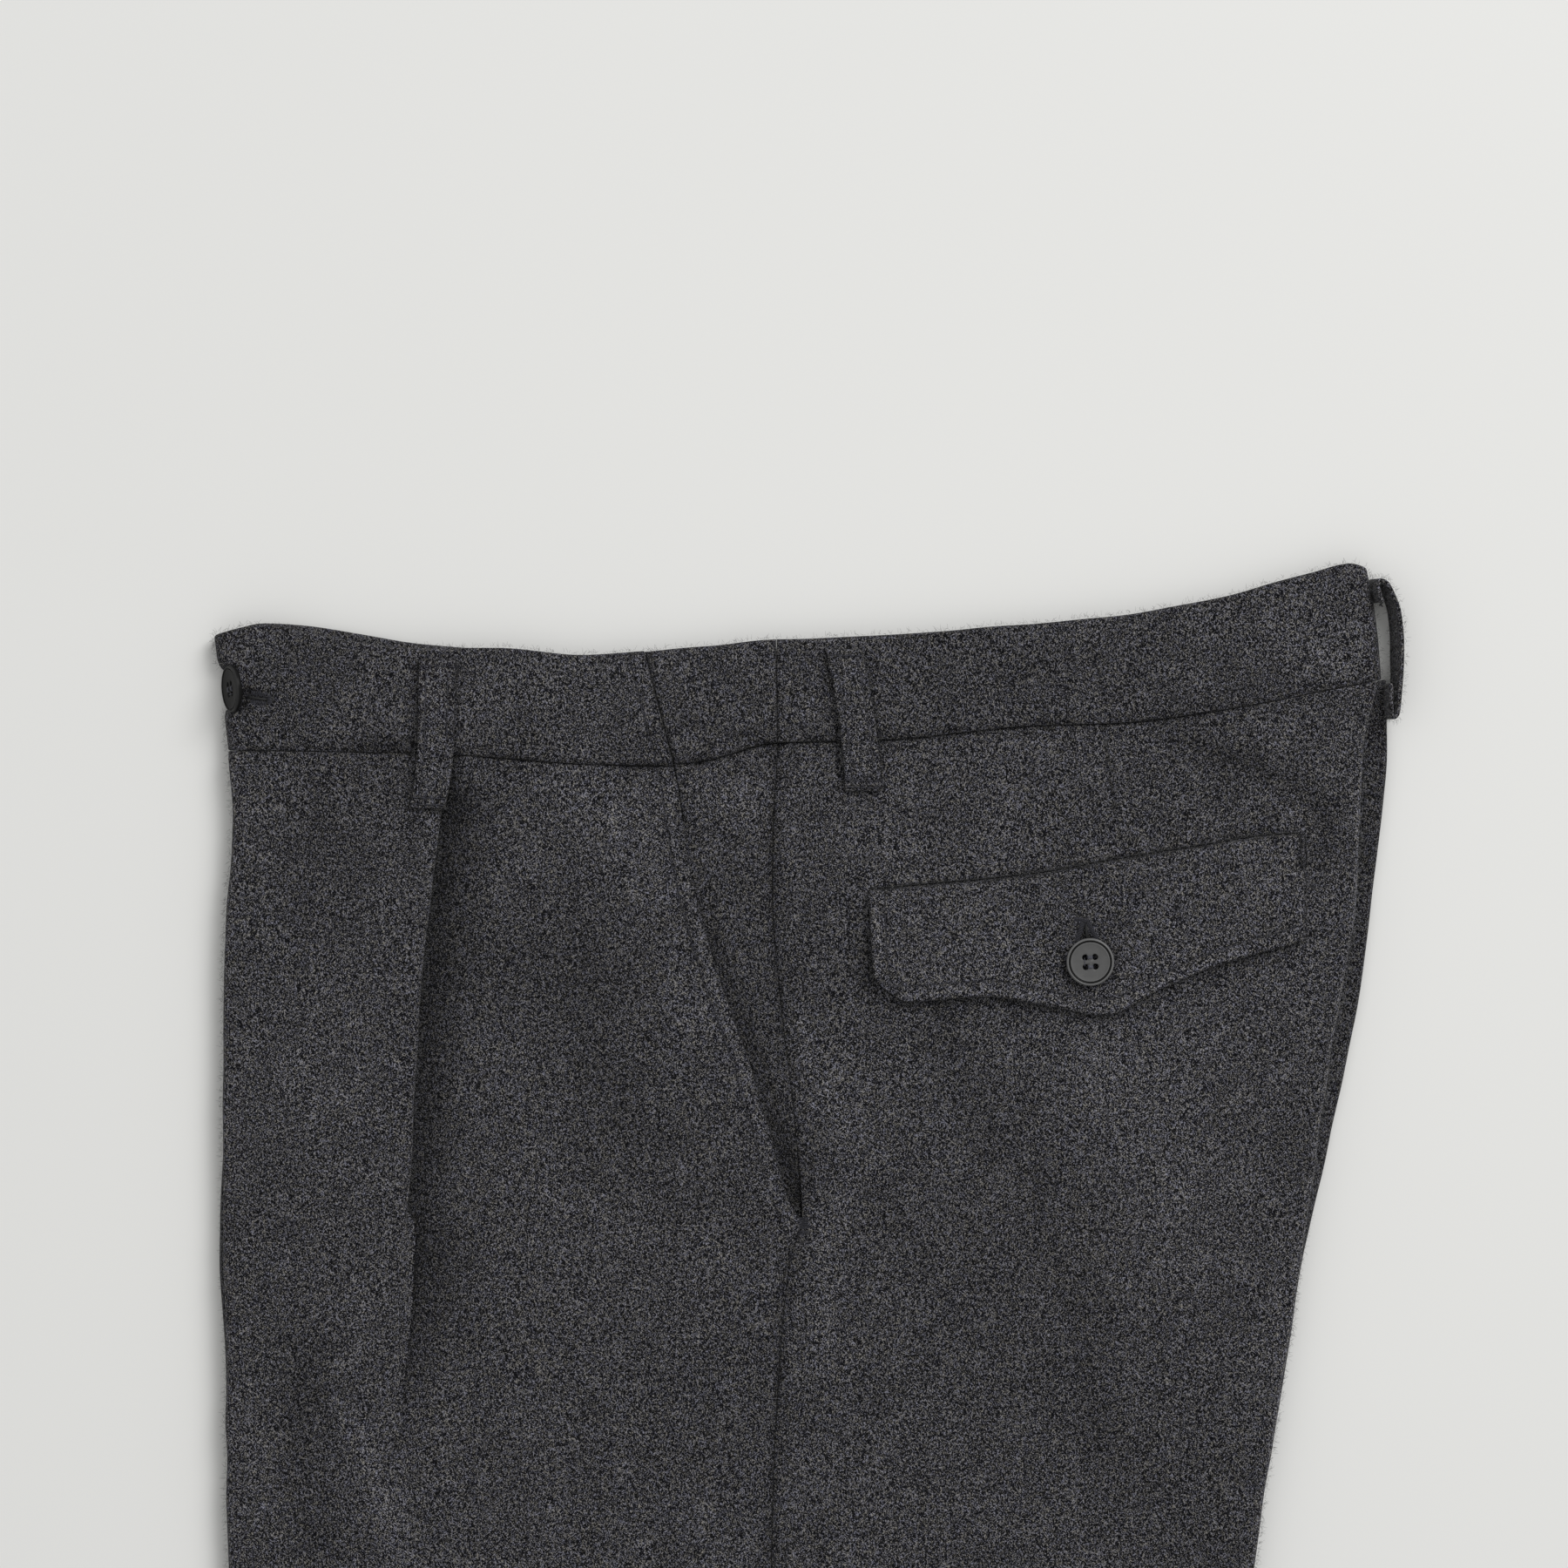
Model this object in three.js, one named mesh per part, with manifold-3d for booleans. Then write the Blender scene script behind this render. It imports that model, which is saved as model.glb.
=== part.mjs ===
// Wide-leg wool flannel trousers, laid flat in profile on their right side.
// The wearer's left half is the upper one. Units are millimetres.
// +X points to the back of the garment, +Y to the waist and +Z up, away from the surface it lies on.
// The origin is on that surface, under the middle of the garment.

import Module from "manifold-3d";
import * as THREE from "three";
import { mergeVertices } from "three/addons/utils/BufferGeometryUtils.js";

// Driving sizes
const CLOTH = 1.0; // one layer of flannel
const BAND = 2.6; // waistband: cloth, interlining and turnings
const LOOP = 1.4; // belt loop: a folded strip
const FLAP = 1.8; // flap: two layers
const LOOP_WIDTH = 12;
const SEAM_GAP = 0.3; // clearance between pieces that are sewn together
const HEM_Y = -528;
const PATTERN_LENGTH = 1000; // waist seam to hem, the scale of the column d
const PLEAT_PITCH = 1.3; // from one layer of the folded pleat to the next
const PLEAT_RELEASE = 14; // how far past the pleat the cloth lies low
const FACING_PITCH = 1.5; // how much lower the pocket facing lies at the mouth
const FACING_REACH = 14; // how far the pocket facing goes on under the front
const LAP_REACH = 12; // how far the left waistband wraps under at the closure
const BAND_Z = { left: 7.3, right: 3.0, lap: 1.3, tongue: 4.2 }; // middles of the waistband's layers
const PARTING_Z = 5.15; // plane between the halves at the waistband
const BUTTON_HEIGHT = 2.3;
const PLEAT_EASE = 3; // half the width of the slope that the pleat opens into
const FACING_RISE = 8; // the facing comes back up over at least this width
const FACING_TUCK = { dip: 10, from: 20, over: 15 }; // distances below the seam at which it goes under
const WAIST_SEAM = { mouthFront: 460.6, mouthSide: 460.9, side: 468.4 }; // its height at the band's ends
const DRILL_LENGTH = 10; // longer than the button is high

// Points in the sections of each piece
const POINTS = {
  frontBand: { rows: 9, flat: 8, turn: 8, lap: 3 },
  tongue: { rows: 5, flat: 12 },
  sideBand: { rows: 4, flat: 6 },
  backBand: { rows: 5, flat: 9 },
  pleatTurn: 3,
  foldTurn: 5,
  facing: 6,
  loopWidth: 4,
  loopEdge: 3,
  flapRows: 5,
  holeSides: 8,
};
const BACK_FOLD_ANGLES = [0, 25, 50, 75];
const PASSES = 4; // rounds in which a place on a row is found from its own height

// Rows with named columns
const table = (columns, rows) =>
  rows.map((row) => Object.fromEntries(columns.map((name, i) => [name, row[i]])));

// Fold lines and seams of the legs. Front and back are the upper half's folds, the under columns those
// of the lower half, side is the side seam, and the inner columns are the free edges of the cloth
// that is turned in between the halves: the centre seams, and below the crotch the inseam.
const STATIONS = table(
  ["y", "front", "frontUnder", "back", "backUnder", "side", "frontInner", "backInner"],
  [
    [489, -190.3, -190.0, 187.0, 189.6, -10.5, -186.0, 183.0],
    [466, -190.3, -190.0, 181.6, 190.0, -10.2, -186.0, 172.0],
    [444, -188.7, -188.5, 181.0, 188.4, -11.5, -183.5, 162.0],
    [420, -190.4, -190.2, 179.9, 185.4, -11.9, -181.0, 152.0],
    [386, -191.7, -191.5, 174.5, 181.0, -9.4, -173.0, 132.0],
    [341, -191.9, -192.0, 167.5, 171.7, -4.2, -158.5, 97.0],
    [312, -191.9, -193.3, 163.5, 165.1, -2.2, -148.0, 72.0],
    [298, -191.8, -193.4, 161.4, 162.0, -6.2, -142.0, 58.0],
    [266, -191.1, -191.6, 156.3, 157.0, -9.4, -129.0, 24.0],
    [226, -190.9, -191.0, 150.0, 150.3, -11.6, -105.0, -22.0],
    [176, -189.4, -189.6, 142.6, 143.0, -12.6, -64.2, -63.8],
    [160, -189.0, -189.2, 140.5, 140.9, -13.0, -63.8, -63.4],
    [84, -186.5, -187.0, 131.0, 131.5, -15.0, -61.7, -61.3],
    [-145, -179.0, -179.4, 110.0, 110.3, -23.0, -57.2, -56.8],
    [-528, -165.0, -165.6, 92.0, 92.8, -37.0, -48.2, -47.8],
  ],
);

// Heights of the layers' middles, by distance d below the waist seam. Edge is near the folds, middle
// between them, inner the layer turned in; the under columns are the lower half's.
const LEVELS = [
  { d: 0, edge: 8.0, middle: 7.2, inner: 5.8, underInner: 4.5, underEdge: 2.3, underMiddle: 2.3 },
  { d: 20, edge: 8.0, middle: 6.9, inner: 5.7, underInner: 4.4, underEdge: 2.3, underMiddle: 2.3 },
  { d: 50, edge: 8.2, middle: 6.3, inner: 5.0, underInner: 3.7, underEdge: 0.8, underMiddle: 1.5 },
  { d: 75, edge: 8.3, middle: 6.2, inner: 4.8, underInner: 3.5, underEdge: 0.5, underMiddle: 1.4 },
  { d: 230, edge: 8.3, middle: 6.2, inner: 4.8, underInner: 3.5, underEdge: 0.5, underMiddle: 1.4 },
  { d: 310, edge: 8.3, middle: 7.0, inner: 4.8, underInner: 3.5, underEdge: 0.5, underMiddle: 0.5 },
  { d: 430, edge: 8.3, middle: 7.8, inner: 4.8, underInner: 3.5, underEdge: 0.5, underMiddle: 0.5 },
  { d: 1000, edge: 8.3, middle: 7.8, inner: 4.8, underInner: 3.5, underEdge: 0.5, underMiddle: 0.5 },
];

// Upper edge and lower seam of the waistband, in front of the pocket mouth and behind it
const FRONT_WAIST = [
  { x: -196, top: 503.6, underTop: 502.5, seam: 466.0 },
  { x: -179, top: 507.6, underTop: 507.9, seam: 465.8 },
  { x: -165, top: 504.8, underTop: 506.9, seam: 465.6 },
  { x: -147, top: 501.2, underTop: 504.1, seam: 465.3 },
  { x: -128, top: 499.4, underTop: 501.0, seam: 465.0 },
  { x: -103, top: 499.5, underTop: 498.9, seam: 463.7 },
  { x: -75, top: 497.3, underTop: 496.6, seam: 461.6 },
  { x: -42, top: 499.5, underTop: 498.6, seam: 460.6 },
];
const REAR_WAIST = [
  { x: -56, top: 498.0, underTop: 497.0, seam: 460.2 },
  { x: -33, top: 500.5, underTop: 499.5, seam: 462.8 },
  { x: -11, top: 502.4, underTop: 501.4, seam: 468.4 },
  { x: 24, top: 504.0, underTop: 503.0, seam: 468.7 },
  { x: 73, top: 507.6, underTop: 506.6, seam: 472.8 },
  { x: 102, top: 510.4, underTop: 509.4, seam: 475.0 },
  { x: 137, top: 516.7, underTop: 515.7, seam: 479.4 },
  { x: 165, top: 524.6, underTop: 523.6, seam: 484.6 },
  { x: 178, top: 527.6, underTop: 526.6, seam: 487.2 },
  { x: 189, top: 521.5, underTop: 520.5, seam: 489.3 },
];

// Ends of the waistband: the closure at the front and the fold over the centre back seam
const BAND_ENDS = [
  { v: 0, front: -195.2, back: 183.0 },
  { v: 0.3, front: -193.7, back: 185.5 },
  { v: 0.65, front: -192.0, back: 187.1 },
  { v: 1, front: -190.4, back: 188.0 },
];

// Edge of the slanted pocket mouth
const MOUTH = [
  { y: 500, x: -54.6 },
  { y: 480, x: -49.0 },
  { y: 460, x: -44.1 },
  { y: 430, x: -39.2 },
  { y: 400, x: -32.2 },
  { y: 370, x: -21.5 },
  { y: 340, x: -12.6 },
  { y: 318, x: -6.5 },
  { y: 309, x: 0 },
];

// Line, depth and remaining height (1 to 0) of each front pleat
const LEFT_PLEAT = [
  { d: 0, x: -118.0, depth: 15, step: 1 },
  { d: 50, x: -122.8, depth: 12, step: 1 },
  { d: 100, x: -127.2, depth: 8, step: 1 },
  { d: 150, x: -129.6, depth: 3, step: 1 },
  { d: 165, x: -130.3, depth: 0, step: 1 },
  { d: 240, x: -137.0, depth: 0, step: 0 },
];
const RIGHT_PLEAT = [
  { d: 0, x: -88.0, depth: 12, step: 1 },
  { d: 75, x: -91.0, depth: 8, step: 1 },
  { d: 125, x: -93.0, depth: 3, step: 1 },
  { d: 150, x: -94.0, depth: 0, step: 1 },
  { d: 230, x: -97.0, depth: 0, step: 0 },
];

// Distances below the waist seam at which the leg panels have a section
const UPPER_ROWS = [0, 10, 20, 35, 50, 75, 100, 125, 150, 165, 180];
const LOWER_ROWS = [205, 230, 255, 280, 310, 350, 430, 550, 700, 850, 1000];
const PANEL_ROWS = [...UPPER_ROWS, ...LOWER_ROWS];

const LEFT = {
  up: 1,
  front: "front",
  back: "back",
  edge: "edge",
  middle: "middle",
  inner: "inner",
  top: "top",
  band: BAND_Z.left,
  pleat: LEFT_PLEAT,
  columns: { after: 7, before: 4, turned: 4, rear: 10 },
};
const RIGHT = {
  up: -1,
  front: "frontUnder",
  back: "backUnder",
  edge: "underEdge",
  middle: "underMiddle",
  inner: "underInner",
  top: "underTop",
  band: BAND_Z.right,
  pleat: RIGHT_PLEAT,
  columns: { after: 5, before: 3, turned: 3, rear: 6 },
};

// Upper and lower edge of the back pocket flap, from the side seam's end to the centre back's
const FLAP_SECTIONS = [
  { x: 19.5, top: 420.2, foot: 391.0, footX: 22.6, lift: 0.9 },
  { x: 25.5, top: 420.8, foot: 383.5, footX: 27.5, lift: 0.8 },
  { x: 40, top: 422.0, foot: 384.0, footX: 40, lift: 0.6 },
  { x: 58, top: 423.6, foot: 385.2, footX: 58, lift: 0.5 },
  { x: 78, top: 426.0, foot: 382.2, footX: 78, lift: 0.4 },
  { x: 97, top: 429.5, foot: 379.0, footX: 97, lift: 0.3 },
  { x: 115, top: 432.4, foot: 387.4, footX: 115, lift: 0.2 },
  { x: 132, top: 435.2, foot: 394.6, footX: 132, lift: 0.1 },
  { x: 148, top: 437.7, foot: 399.5, footX: 148, lift: 0.05 },
  { x: 161.5, top: 438.8, foot: 403.5, footX: 163.3, lift: 0 },
];
const FLAP_CLEARANCE = 0.4;
const FLAP_BUTTON = { x: 92.3, y: 396.7, lift: 0.35 };

// Centre lines of the belt loops, with the height of the strip's middle
const FRONT_LOOP = [
  { y: 495.6, x: -121.7, z: 9.6 },
  { y: 481, x: -121.9, z: 9.9 },
  { y: 468, x: -122.2, z: 9.6 },
  { y: 458, x: -123.0, z: 9.6 },
  { y: 447, x: -125.0, z: 9.5 },
];
const SIDE_LOOP = [
  { y: 499.1, x: 11.6, z: 9.6 },
  { y: 489, x: 13.7, z: 9.9 },
  { y: 470, x: 16.6, z: 9.6 },
  { y: 460, x: 17.6, z: 8.9 },
  { y: 452.7, x: 17.9, z: 8.6 },
];
const BACK_LOOP = [
  { x: 185.4, y: 521.6 },
  { x: 188.8, y: 518.0 },
  { x: 191.4, y: 512.0 },
  { x: 192.9, y: 503.0 },
  { x: 193.0, y: 492.0 },
  { x: 192.5, y: 483.0 },
  { x: 191.9, y: 477.0 },
];
const BACK_LOOP_TILT = THREE.MathUtils.degToRad(12);

// The waist button leans over the closure's fold. Its face's middle and the way it faces:
const WAIST_BUTTON = new THREE.Vector3(-190.0, 486.1, 8.6);
const WAIST_BUTTON_FACING = new THREE.Vector3(-0.918, -0.075, 0.391).normalize();

const lerp = THREE.MathUtils.lerp;
const smooth = (t) => THREE.MathUtils.smoothstep(t, 0, 1);
const spread = (from, to, count) =>
  Array.from({ length: count }, (_, i) => lerp(from, to, i / (count - 1)));
const point = (x, y, z) => new THREE.Vector3(x, y, z);

// Value of one column of a table at a key, on a curve that never swings past its rows
function read(rows, key, at, column) {
  const sorted = rows[0][key] < rows[1][key] ? rows : [...rows].reverse();
  const last = sorted.length - 1;
  const place = Math.min(Math.max(at, sorted[0][key]), sorted[last][key]);
  const i = Math.min(sorted.findLastIndex((row) => row[key] <= place), last - 1);
  const rise = (k, name) => sorted[k + 1][name] - sorted[k][name];
  const slope = (k) => rise(k, column) / rise(k, key);
  const tangent = (k) => {
    if (k === 0 || k === last) return slope(Math.min(k, last - 1));
    const [before, after] = [slope(k - 1), slope(k)];
    return before * after <= 0 ? 0 : (2 * before * after) / (before + after);
  };
  const width = rise(i, key);
  const t = (place - sorted[i][key]) / width;
  const start = sorted[i][column] * (1 + 2 * t) * (1 - t) ** 2 + tangent(i) * width * t * (1 - t) ** 2;
  const end = sorted[i + 1][column] * t * t * (3 - 2 * t) + tangent(i + 1) * width * t * t * (t - 1);
  return start + end;
}

// Outward direction at point i of a section in the plane of x and the named axis
function sectionNormal(section, i, axis) {
  const tangent = new THREE.Vector3();
  const flat = axis === "z" ? 1 : 2;
  const step = (k) => section[k + 1].clone().sub(section[k]).setComponent(flat, 0).normalize();
  if (i > 0) tangent.add(step(i - 1));
  if (i < section.length - 1) tangent.add(step(i));
  const normal = new THREE.Vector3(tangent[axis], 0, 0);
  normal[axis] = -tangent.x;
  return normal.normalize();
}

// Closed body between two grids of points with the same rows and columns
function bodyBetween(outer, inner) {
  const rows = outer.length;
  const columns = outer[0].length;
  const points = [...outer.flat(), ...inner.flat()];
  const at = (layer, row, column) => (layer * rows + row) * columns + column;
  const triangles = [];
  const quad = (a, b, c, d) => triangles.push(a, b, c, a, c, d);
  for (let r = 0; r < rows - 1; r++) {
    for (let c = 0; c < columns - 1; c++) {
      quad(at(0, r, c), at(0, r + 1, c), at(0, r + 1, c + 1), at(0, r, c + 1));
      quad(at(1, r, c), at(1, r, c + 1), at(1, r + 1, c + 1), at(1, r + 1, c));
    }
    quad(at(0, r, 0), at(1, r, 0), at(1, r + 1, 0), at(0, r + 1, 0));
    const last = columns - 1;
    quad(at(0, r, last), at(0, r + 1, last), at(1, r + 1, last), at(1, r, last));
  }
  for (let c = 0; c < columns - 1; c++) {
    quad(at(0, 0, c), at(0, 0, c + 1), at(1, 0, c + 1), at(1, 0, c));
    const last = rows - 1;
    quad(at(0, last, c), at(1, last, c), at(1, last, c + 1), at(0, last, c + 1));
  }
  let volume = 0;
  for (let i = 0; i < triangles.length; i += 3) {
    const [a, b, c] = [0, 1, 2].map((k) => points[triangles[i + k]]);
    volume += a.dot(b.clone().cross(c));
  }
  if (volume < 0) triangles.reverse();
  const geometry = new THREE.BufferGeometry();
  const numbers = points.flatMap((p) => p.toArray());
  geometry.setAttribute("position", new THREE.Float32BufferAttribute(numbers, 3));
  geometry.setIndex(triangles);
  return geometry;
}

// Wall of one thickness through sections of points, each in the plane of x and the named axis
function wall(sections, thickness, axis = "z") {
  const moved = (side) =>
    sections.map((section) =>
      section.map((p, i) => {
        const normal = sectionNormal(section, i, axis);
        return p.clone().addScaledVector(normal, (side * thickness) / 2);
      }),
    );
  return bodyBetween(moved(1), moved(-1));
}

// Half circle between two layers' heights: turn is the side it bulges to
function turnPoints(centreX, from, to, turn, segments) {
  const middle = (from + to) / 2;
  const radius = (to - from) / 2;
  return spread(0, Math.PI, segments + 1).map((angle) => ({
    x: centreX + turn * Math.abs(radius) * Math.sin(angle),
    z: middle - radius * Math.cos(angle),
  }));
}

// Height y of a panel's row at distance d below the seam: it follows the seam, then levels out to the hem
const PANEL_TOP = { frontX: -190, front: 466, backX: 187, back: 489, settle: 100 };
function rowY(waist, x, d) {
  const seam = read(waist, "x", x, "seam") - SEAM_GAP;
  const along = (x - PANEL_TOP.frontX) / (PANEL_TOP.backX - PANEL_TOP.frontX);
  const level = lerp(PANEL_TOP.front, PANEL_TOP.back, along);
  const top = lerp(seam, level, smooth(d / PANEL_TOP.settle));
  return lerp(top, HEM_Y, d / PATTERN_LENGTH);
}

const SIDE_X = -8; // where the side seam's height is read
const sideX = (d) => read(STATIONS, "y", rowY(REAR_WAIST, SIDE_X, d), "side");
const mouthX = (y) => read(MOUTH, "y", y, "x");

// Where a row crosses a line that is given by height
function crossing(waist, start, d, lineX) {
  let x = start;
  for (let pass = 0; pass < PASSES; pass++) x = lineX(rowY(waist, x, d));
  return x;
}

function layerHeights(half, d) {
  const level = (name) => read(LEVELS, "d", d, half[name]);
  return { edge: level("edge"), middle: level("middle"), inner: level("inner") };
}

const EDGE_FLAT = 10; // cloth this near a fold stays at the edge's height
const EDGE_SLOPE = 70; // and reaches the middle's height this much further in

// Section of a front panel: from the pocket mouth or side seam over the pleat to the front fold,
// round it, and back between the halves to the centre seam or the inseam
function frontSection(half, d) {
  const foldX = read(STATIONS, "y", rowY(FRONT_WAIST, PANEL_TOP.frontX, d), half.front);
  const waist = d < PANEL_TOP.settle ? FRONT_WAIST : REAR_WAIST;
  const innerLine = (y) => read(STATIONS, "y", y, "frontInner");
  const innerX = crossing(REAR_WAIST, PANEL_TOP.frontX, d, innerLine);
  const z = layerHeights(half, d);
  const pleatX = read(half.pleat, "d", d, "x");
  const depth = read(half.pleat, "d", d, "depth");
  const step = read(half.pleat, "d", d, "step");
  const pitch = half.up * PLEAT_PITCH;
  const low = z.edge - 2 * pitch;
  const plain = (x) => lerp(z.edge, z.middle, smooth((x - foldX - EDGE_FLAT) / EDGE_SLOPE));
  const before = (x) => lerp(plain(x), z.edge, step);
  const released = (x) => lerp(low, z.middle, smooth((x - pleatX) / PLEAT_RELEASE));
  const after = (x) => lerp(plain(x), released(x), step);

  const sideEdge = sideX(d) - SEAM_GAP / 2;
  const openX = Math.min(crossing(waist, sideEdge, d, mouthX), sideEdge);
  const turn = PLEAT_PITCH / 2;
  const edgeX = pleatX - CLOTH / 2 - turn;
  const folded = depth > 2 * PLEAT_PITCH;
  const layered = [
    ...turnPoints(edgeX + 2 * turn - depth, low, low + pitch, -1, POINTS.pleatTurn),
    ...turnPoints(edgeX, low + pitch, z.edge, 1, POINTS.pleatTurn),
  ];
  const stepped = spread(1, 0, layered.length).map((t) => ({
    x: pleatX + lerp(-PLEAT_EASE, PLEAT_EASE, t),
    z: lerp(before(pleatX - PLEAT_EASE), after(pleatX + PLEAT_EASE), smooth(t)),
  }));
  const pleat = folded ? layered : stepped;

  const radius = Math.abs(z.edge - z.inner) / 2;
  const centreX = foldX + CLOTH / 2 + radius;
  const { columns } = half;
  const mouthSide = spread(openX, pleat[0].x, columns.after).slice(0, -1);
  const foldSide = spread(pleat.at(-1).x, centreX, columns.before).slice(1, -1);
  const turned = spread(centreX, Math.max(innerX, centreX + 1), columns.turned).slice(1);
  const outline = [
    ...mouthSide.map((x) => ({ x, z: after(x) })),
    ...pleat,
    ...foldSide.map((x) => ({ x, z: before(x) })),
    ...turnPoints(centreX, z.edge, z.inner, -1, POINTS.foldTurn),
    ...turned.map((x) => ({ x, z: z.inner })),
  ];
  return outline.map((p) => point(p.x, rowY(waist, p.x, d), p.z));
}

// Height of a back panel's outer layer
function backHeight(half, x, d) {
  const foldX = read(STATIONS, "y", rowY(REAR_WAIST, PANEL_TOP.backX, d), half.back);
  const z = layerHeights(half, d);
  return lerp(z.edge, z.middle, smooth((foldX - x - EDGE_FLAT) / EDGE_SLOPE));
}

// Section of a back panel: from the side seam to the back fold, round it and back between the halves
function backSection(half, d) {
  const foldX = read(STATIONS, "y", rowY(REAR_WAIST, PANEL_TOP.backX, d), half.back);
  const innerLine = (y) => read(STATIONS, "y", y, "backInner");
  const innerX = crossing(REAR_WAIST, PANEL_TOP.backX, d, innerLine);
  const z = layerHeights(half, d);
  const radius = Math.abs(z.edge - z.inner) / 2;
  const centreX = foldX - CLOTH / 2 - radius;
  const outer = spread(sideX(d) + SEAM_GAP / 2, centreX, half.columns.rear).slice(0, -1);
  const turned = spread(centreX, Math.min(innerX, centreX - 1), half.columns.turned + 1).slice(1);
  const outline = [
    ...outer.map((x) => ({ x, z: backHeight(half, x, d) })),
    ...turnPoints(centreX, z.edge, z.inner, 1, POINTS.foldTurn),
    ...turned.map((x) => ({ x, z: z.inner })),
  ];
  return outline.map((p) => point(p.x, rowY(REAR_WAIST, p.x, d), p.z));
}

// Distance below the front's waist seam of a point at height y
function frontDepthAt(x, y) {
  let [low, high] = [0, PATTERN_LENGTH];
  for (let pass = 0; pass < 30; pass++) {
    const half = (low + high) / 2;
    if (rowY(FRONT_WAIST, x, half) > y) low = half;
    else high = half;
  }
  return low;
}

// Section of the facing that shows past the pocket mouth and goes on under the front
function facingSection(half, d) {
  const right = sideX(d) - SEAM_GAP / 2;
  const y = rowY(REAR_WAIST, right, d);
  const mouth = mouthX(rowY(REAR_WAIST, mouthX(y), d));
  const under = smooth((d - FACING_TUCK.from) / FACING_TUCK.over);
  const left = mouth + SEAM_GAP - (FACING_REACH + SEAM_GAP) * under;
  const drop = half.up * FACING_PITCH * smooth(d / FACING_TUCK.dip);
  const rise = Math.max(FACING_RISE, right - mouth);
  return spread(left, right, POINTS.facing).map((x) => {
    const rowHeight = rowY(REAR_WAIST, x, d);
    const risen = smooth((x - mouth) / rise);
    const frontLevel = layerHeights(half, frontDepthAt(x, rowHeight)).middle;
    const level = lerp(frontLevel, layerHeights(half, d).middle, risen);
    return point(x, rowHeight, level - drop * (1 - risen));
  });
}

const bandEnd = (v, end) => read(BAND_ENDS, "v", v, end);
function bandY(waist, half, x, v) {
  const seam = read(waist, "x", x, "seam") + SEAM_GAP / 2;
  return lerp(read(waist, "x", x, half.top), seam, v);
}
const MOUTH_TOP = 498;
const frontMouth = (v) => mouthX(lerp(MOUTH_TOP, WAIST_SEAM.mouthFront, v));
const sideMouth = (v) => mouthX(lerp(MOUTH_TOP, WAIST_SEAM.mouthSide, v));
const bandSide = (v) => read(STATIONS, "y", lerp(MOUTH_TOP, WAIST_SEAM.side, v), "side");

// Where the cloth of the closure has to stay clear of the leaning button's back
const BUTTON_HOLD = { full: 8.5, none: 14 };
function clearOfButton(p, depth) {
  const back = WAIST_BUTTON.clone().addScaledVector(WAIST_BUTTON_FACING, -BUTTON_HEIGHT);
  const n = WAIST_BUTTON_FACING;
  const beside = (p.y - back.y) * n.y + (p.z - back.z) * n.z;
  const limit = back.x - (SEAM_GAP + depth + beside) / n.x;
  const away = Math.abs(p.y - back.y);
  const hold = 1 - smooth((away - BUTTON_HOLD.full) / (BUTTON_HOLD.none - BUTTON_HOLD.full));
  return point(p.x + hold * Math.max(0, limit - p.x), p.y, p.z);
}

// The left front waistband runs from the pocket mouth to the closure and wraps round its fold
function leftFrontBand() {
  const points = POINTS.frontBand;
  const sections = spread(0, 1, points.rows).map((v) => {
    const endX = bandEnd(v, "front");
    const centreX = endX + (BAND_Z.left - BAND_Z.lap + BAND) / 2;
    const face = spread(frontMouth(v) - SEAM_GAP / 2, centreX, points.flat).slice(0, -1);
    const lap = spread(centreX, endX + LAP_REACH, points.lap).slice(1);
    const outline = [
      ...face.map((x) => ({ x, z: BAND_Z.left })),
      ...turnPoints(centreX, BAND_Z.left, BAND_Z.lap, -1, points.turn),
      ...lap.map((x) => ({ x, z: BAND_Z.lap })),
    ];
    return outline.map((p) => point(p.x, bandY(FRONT_WAIST, LEFT, p.x, v), p.z));
  });
  const grid = (side, depth) =>
    sections.map((section) =>
      section.map((p, i) => {
        const normal = sectionNormal(section, i, "z");
        return clearOfButton(p.clone().addScaledVector(normal, (side * BAND) / 2), depth);
      }),
    );
  return bodyBetween(grid(1, 0), grid(-1, BAND));
}

// The right front waistband ends inside the closure, on the lap of the left one
const TONGUE = { end: 7.9, flat: 14, ramp: 14 };
function rightFrontBand() {
  const sections = spread(0, 1, POINTS.tongue.rows).map((v) => {
    const endX = bandEnd(v, "front");
    return spread(frontMouth(v) - SEAM_GAP / 2, endX + TONGUE.end, POINTS.tongue.flat).map((x) => {
      const raised = smooth(1 - (x - endX - TONGUE.flat) / TONGUE.ramp);
      return point(x, bandY(FRONT_WAIST, RIGHT, x, v), lerp(BAND_Z.right, BAND_Z.tongue, raised));
    });
  });
  return wall(sections, BAND);
}

// The side waistband lies a little lower than the front one at the mouth
const MOUTH_STEP = 0.5;
function sideBand(half) {
  const sections = spread(0, 1, POINTS.sideBand.rows).map((v) => {
    const from = sideMouth(v) + SEAM_GAP / 2;
    const to = bandSide(v) - SEAM_GAP / 2;
    return spread(from, to, POINTS.sideBand.flat).map((x) => {
      const step = half.up * MOUTH_STEP * (1 - smooth((x - from) / (to - from)));
      return point(x, bandY(REAR_WAIST, half, x, v), half.band - step);
    });
  });
  return wall(sections, BAND);
}

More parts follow.
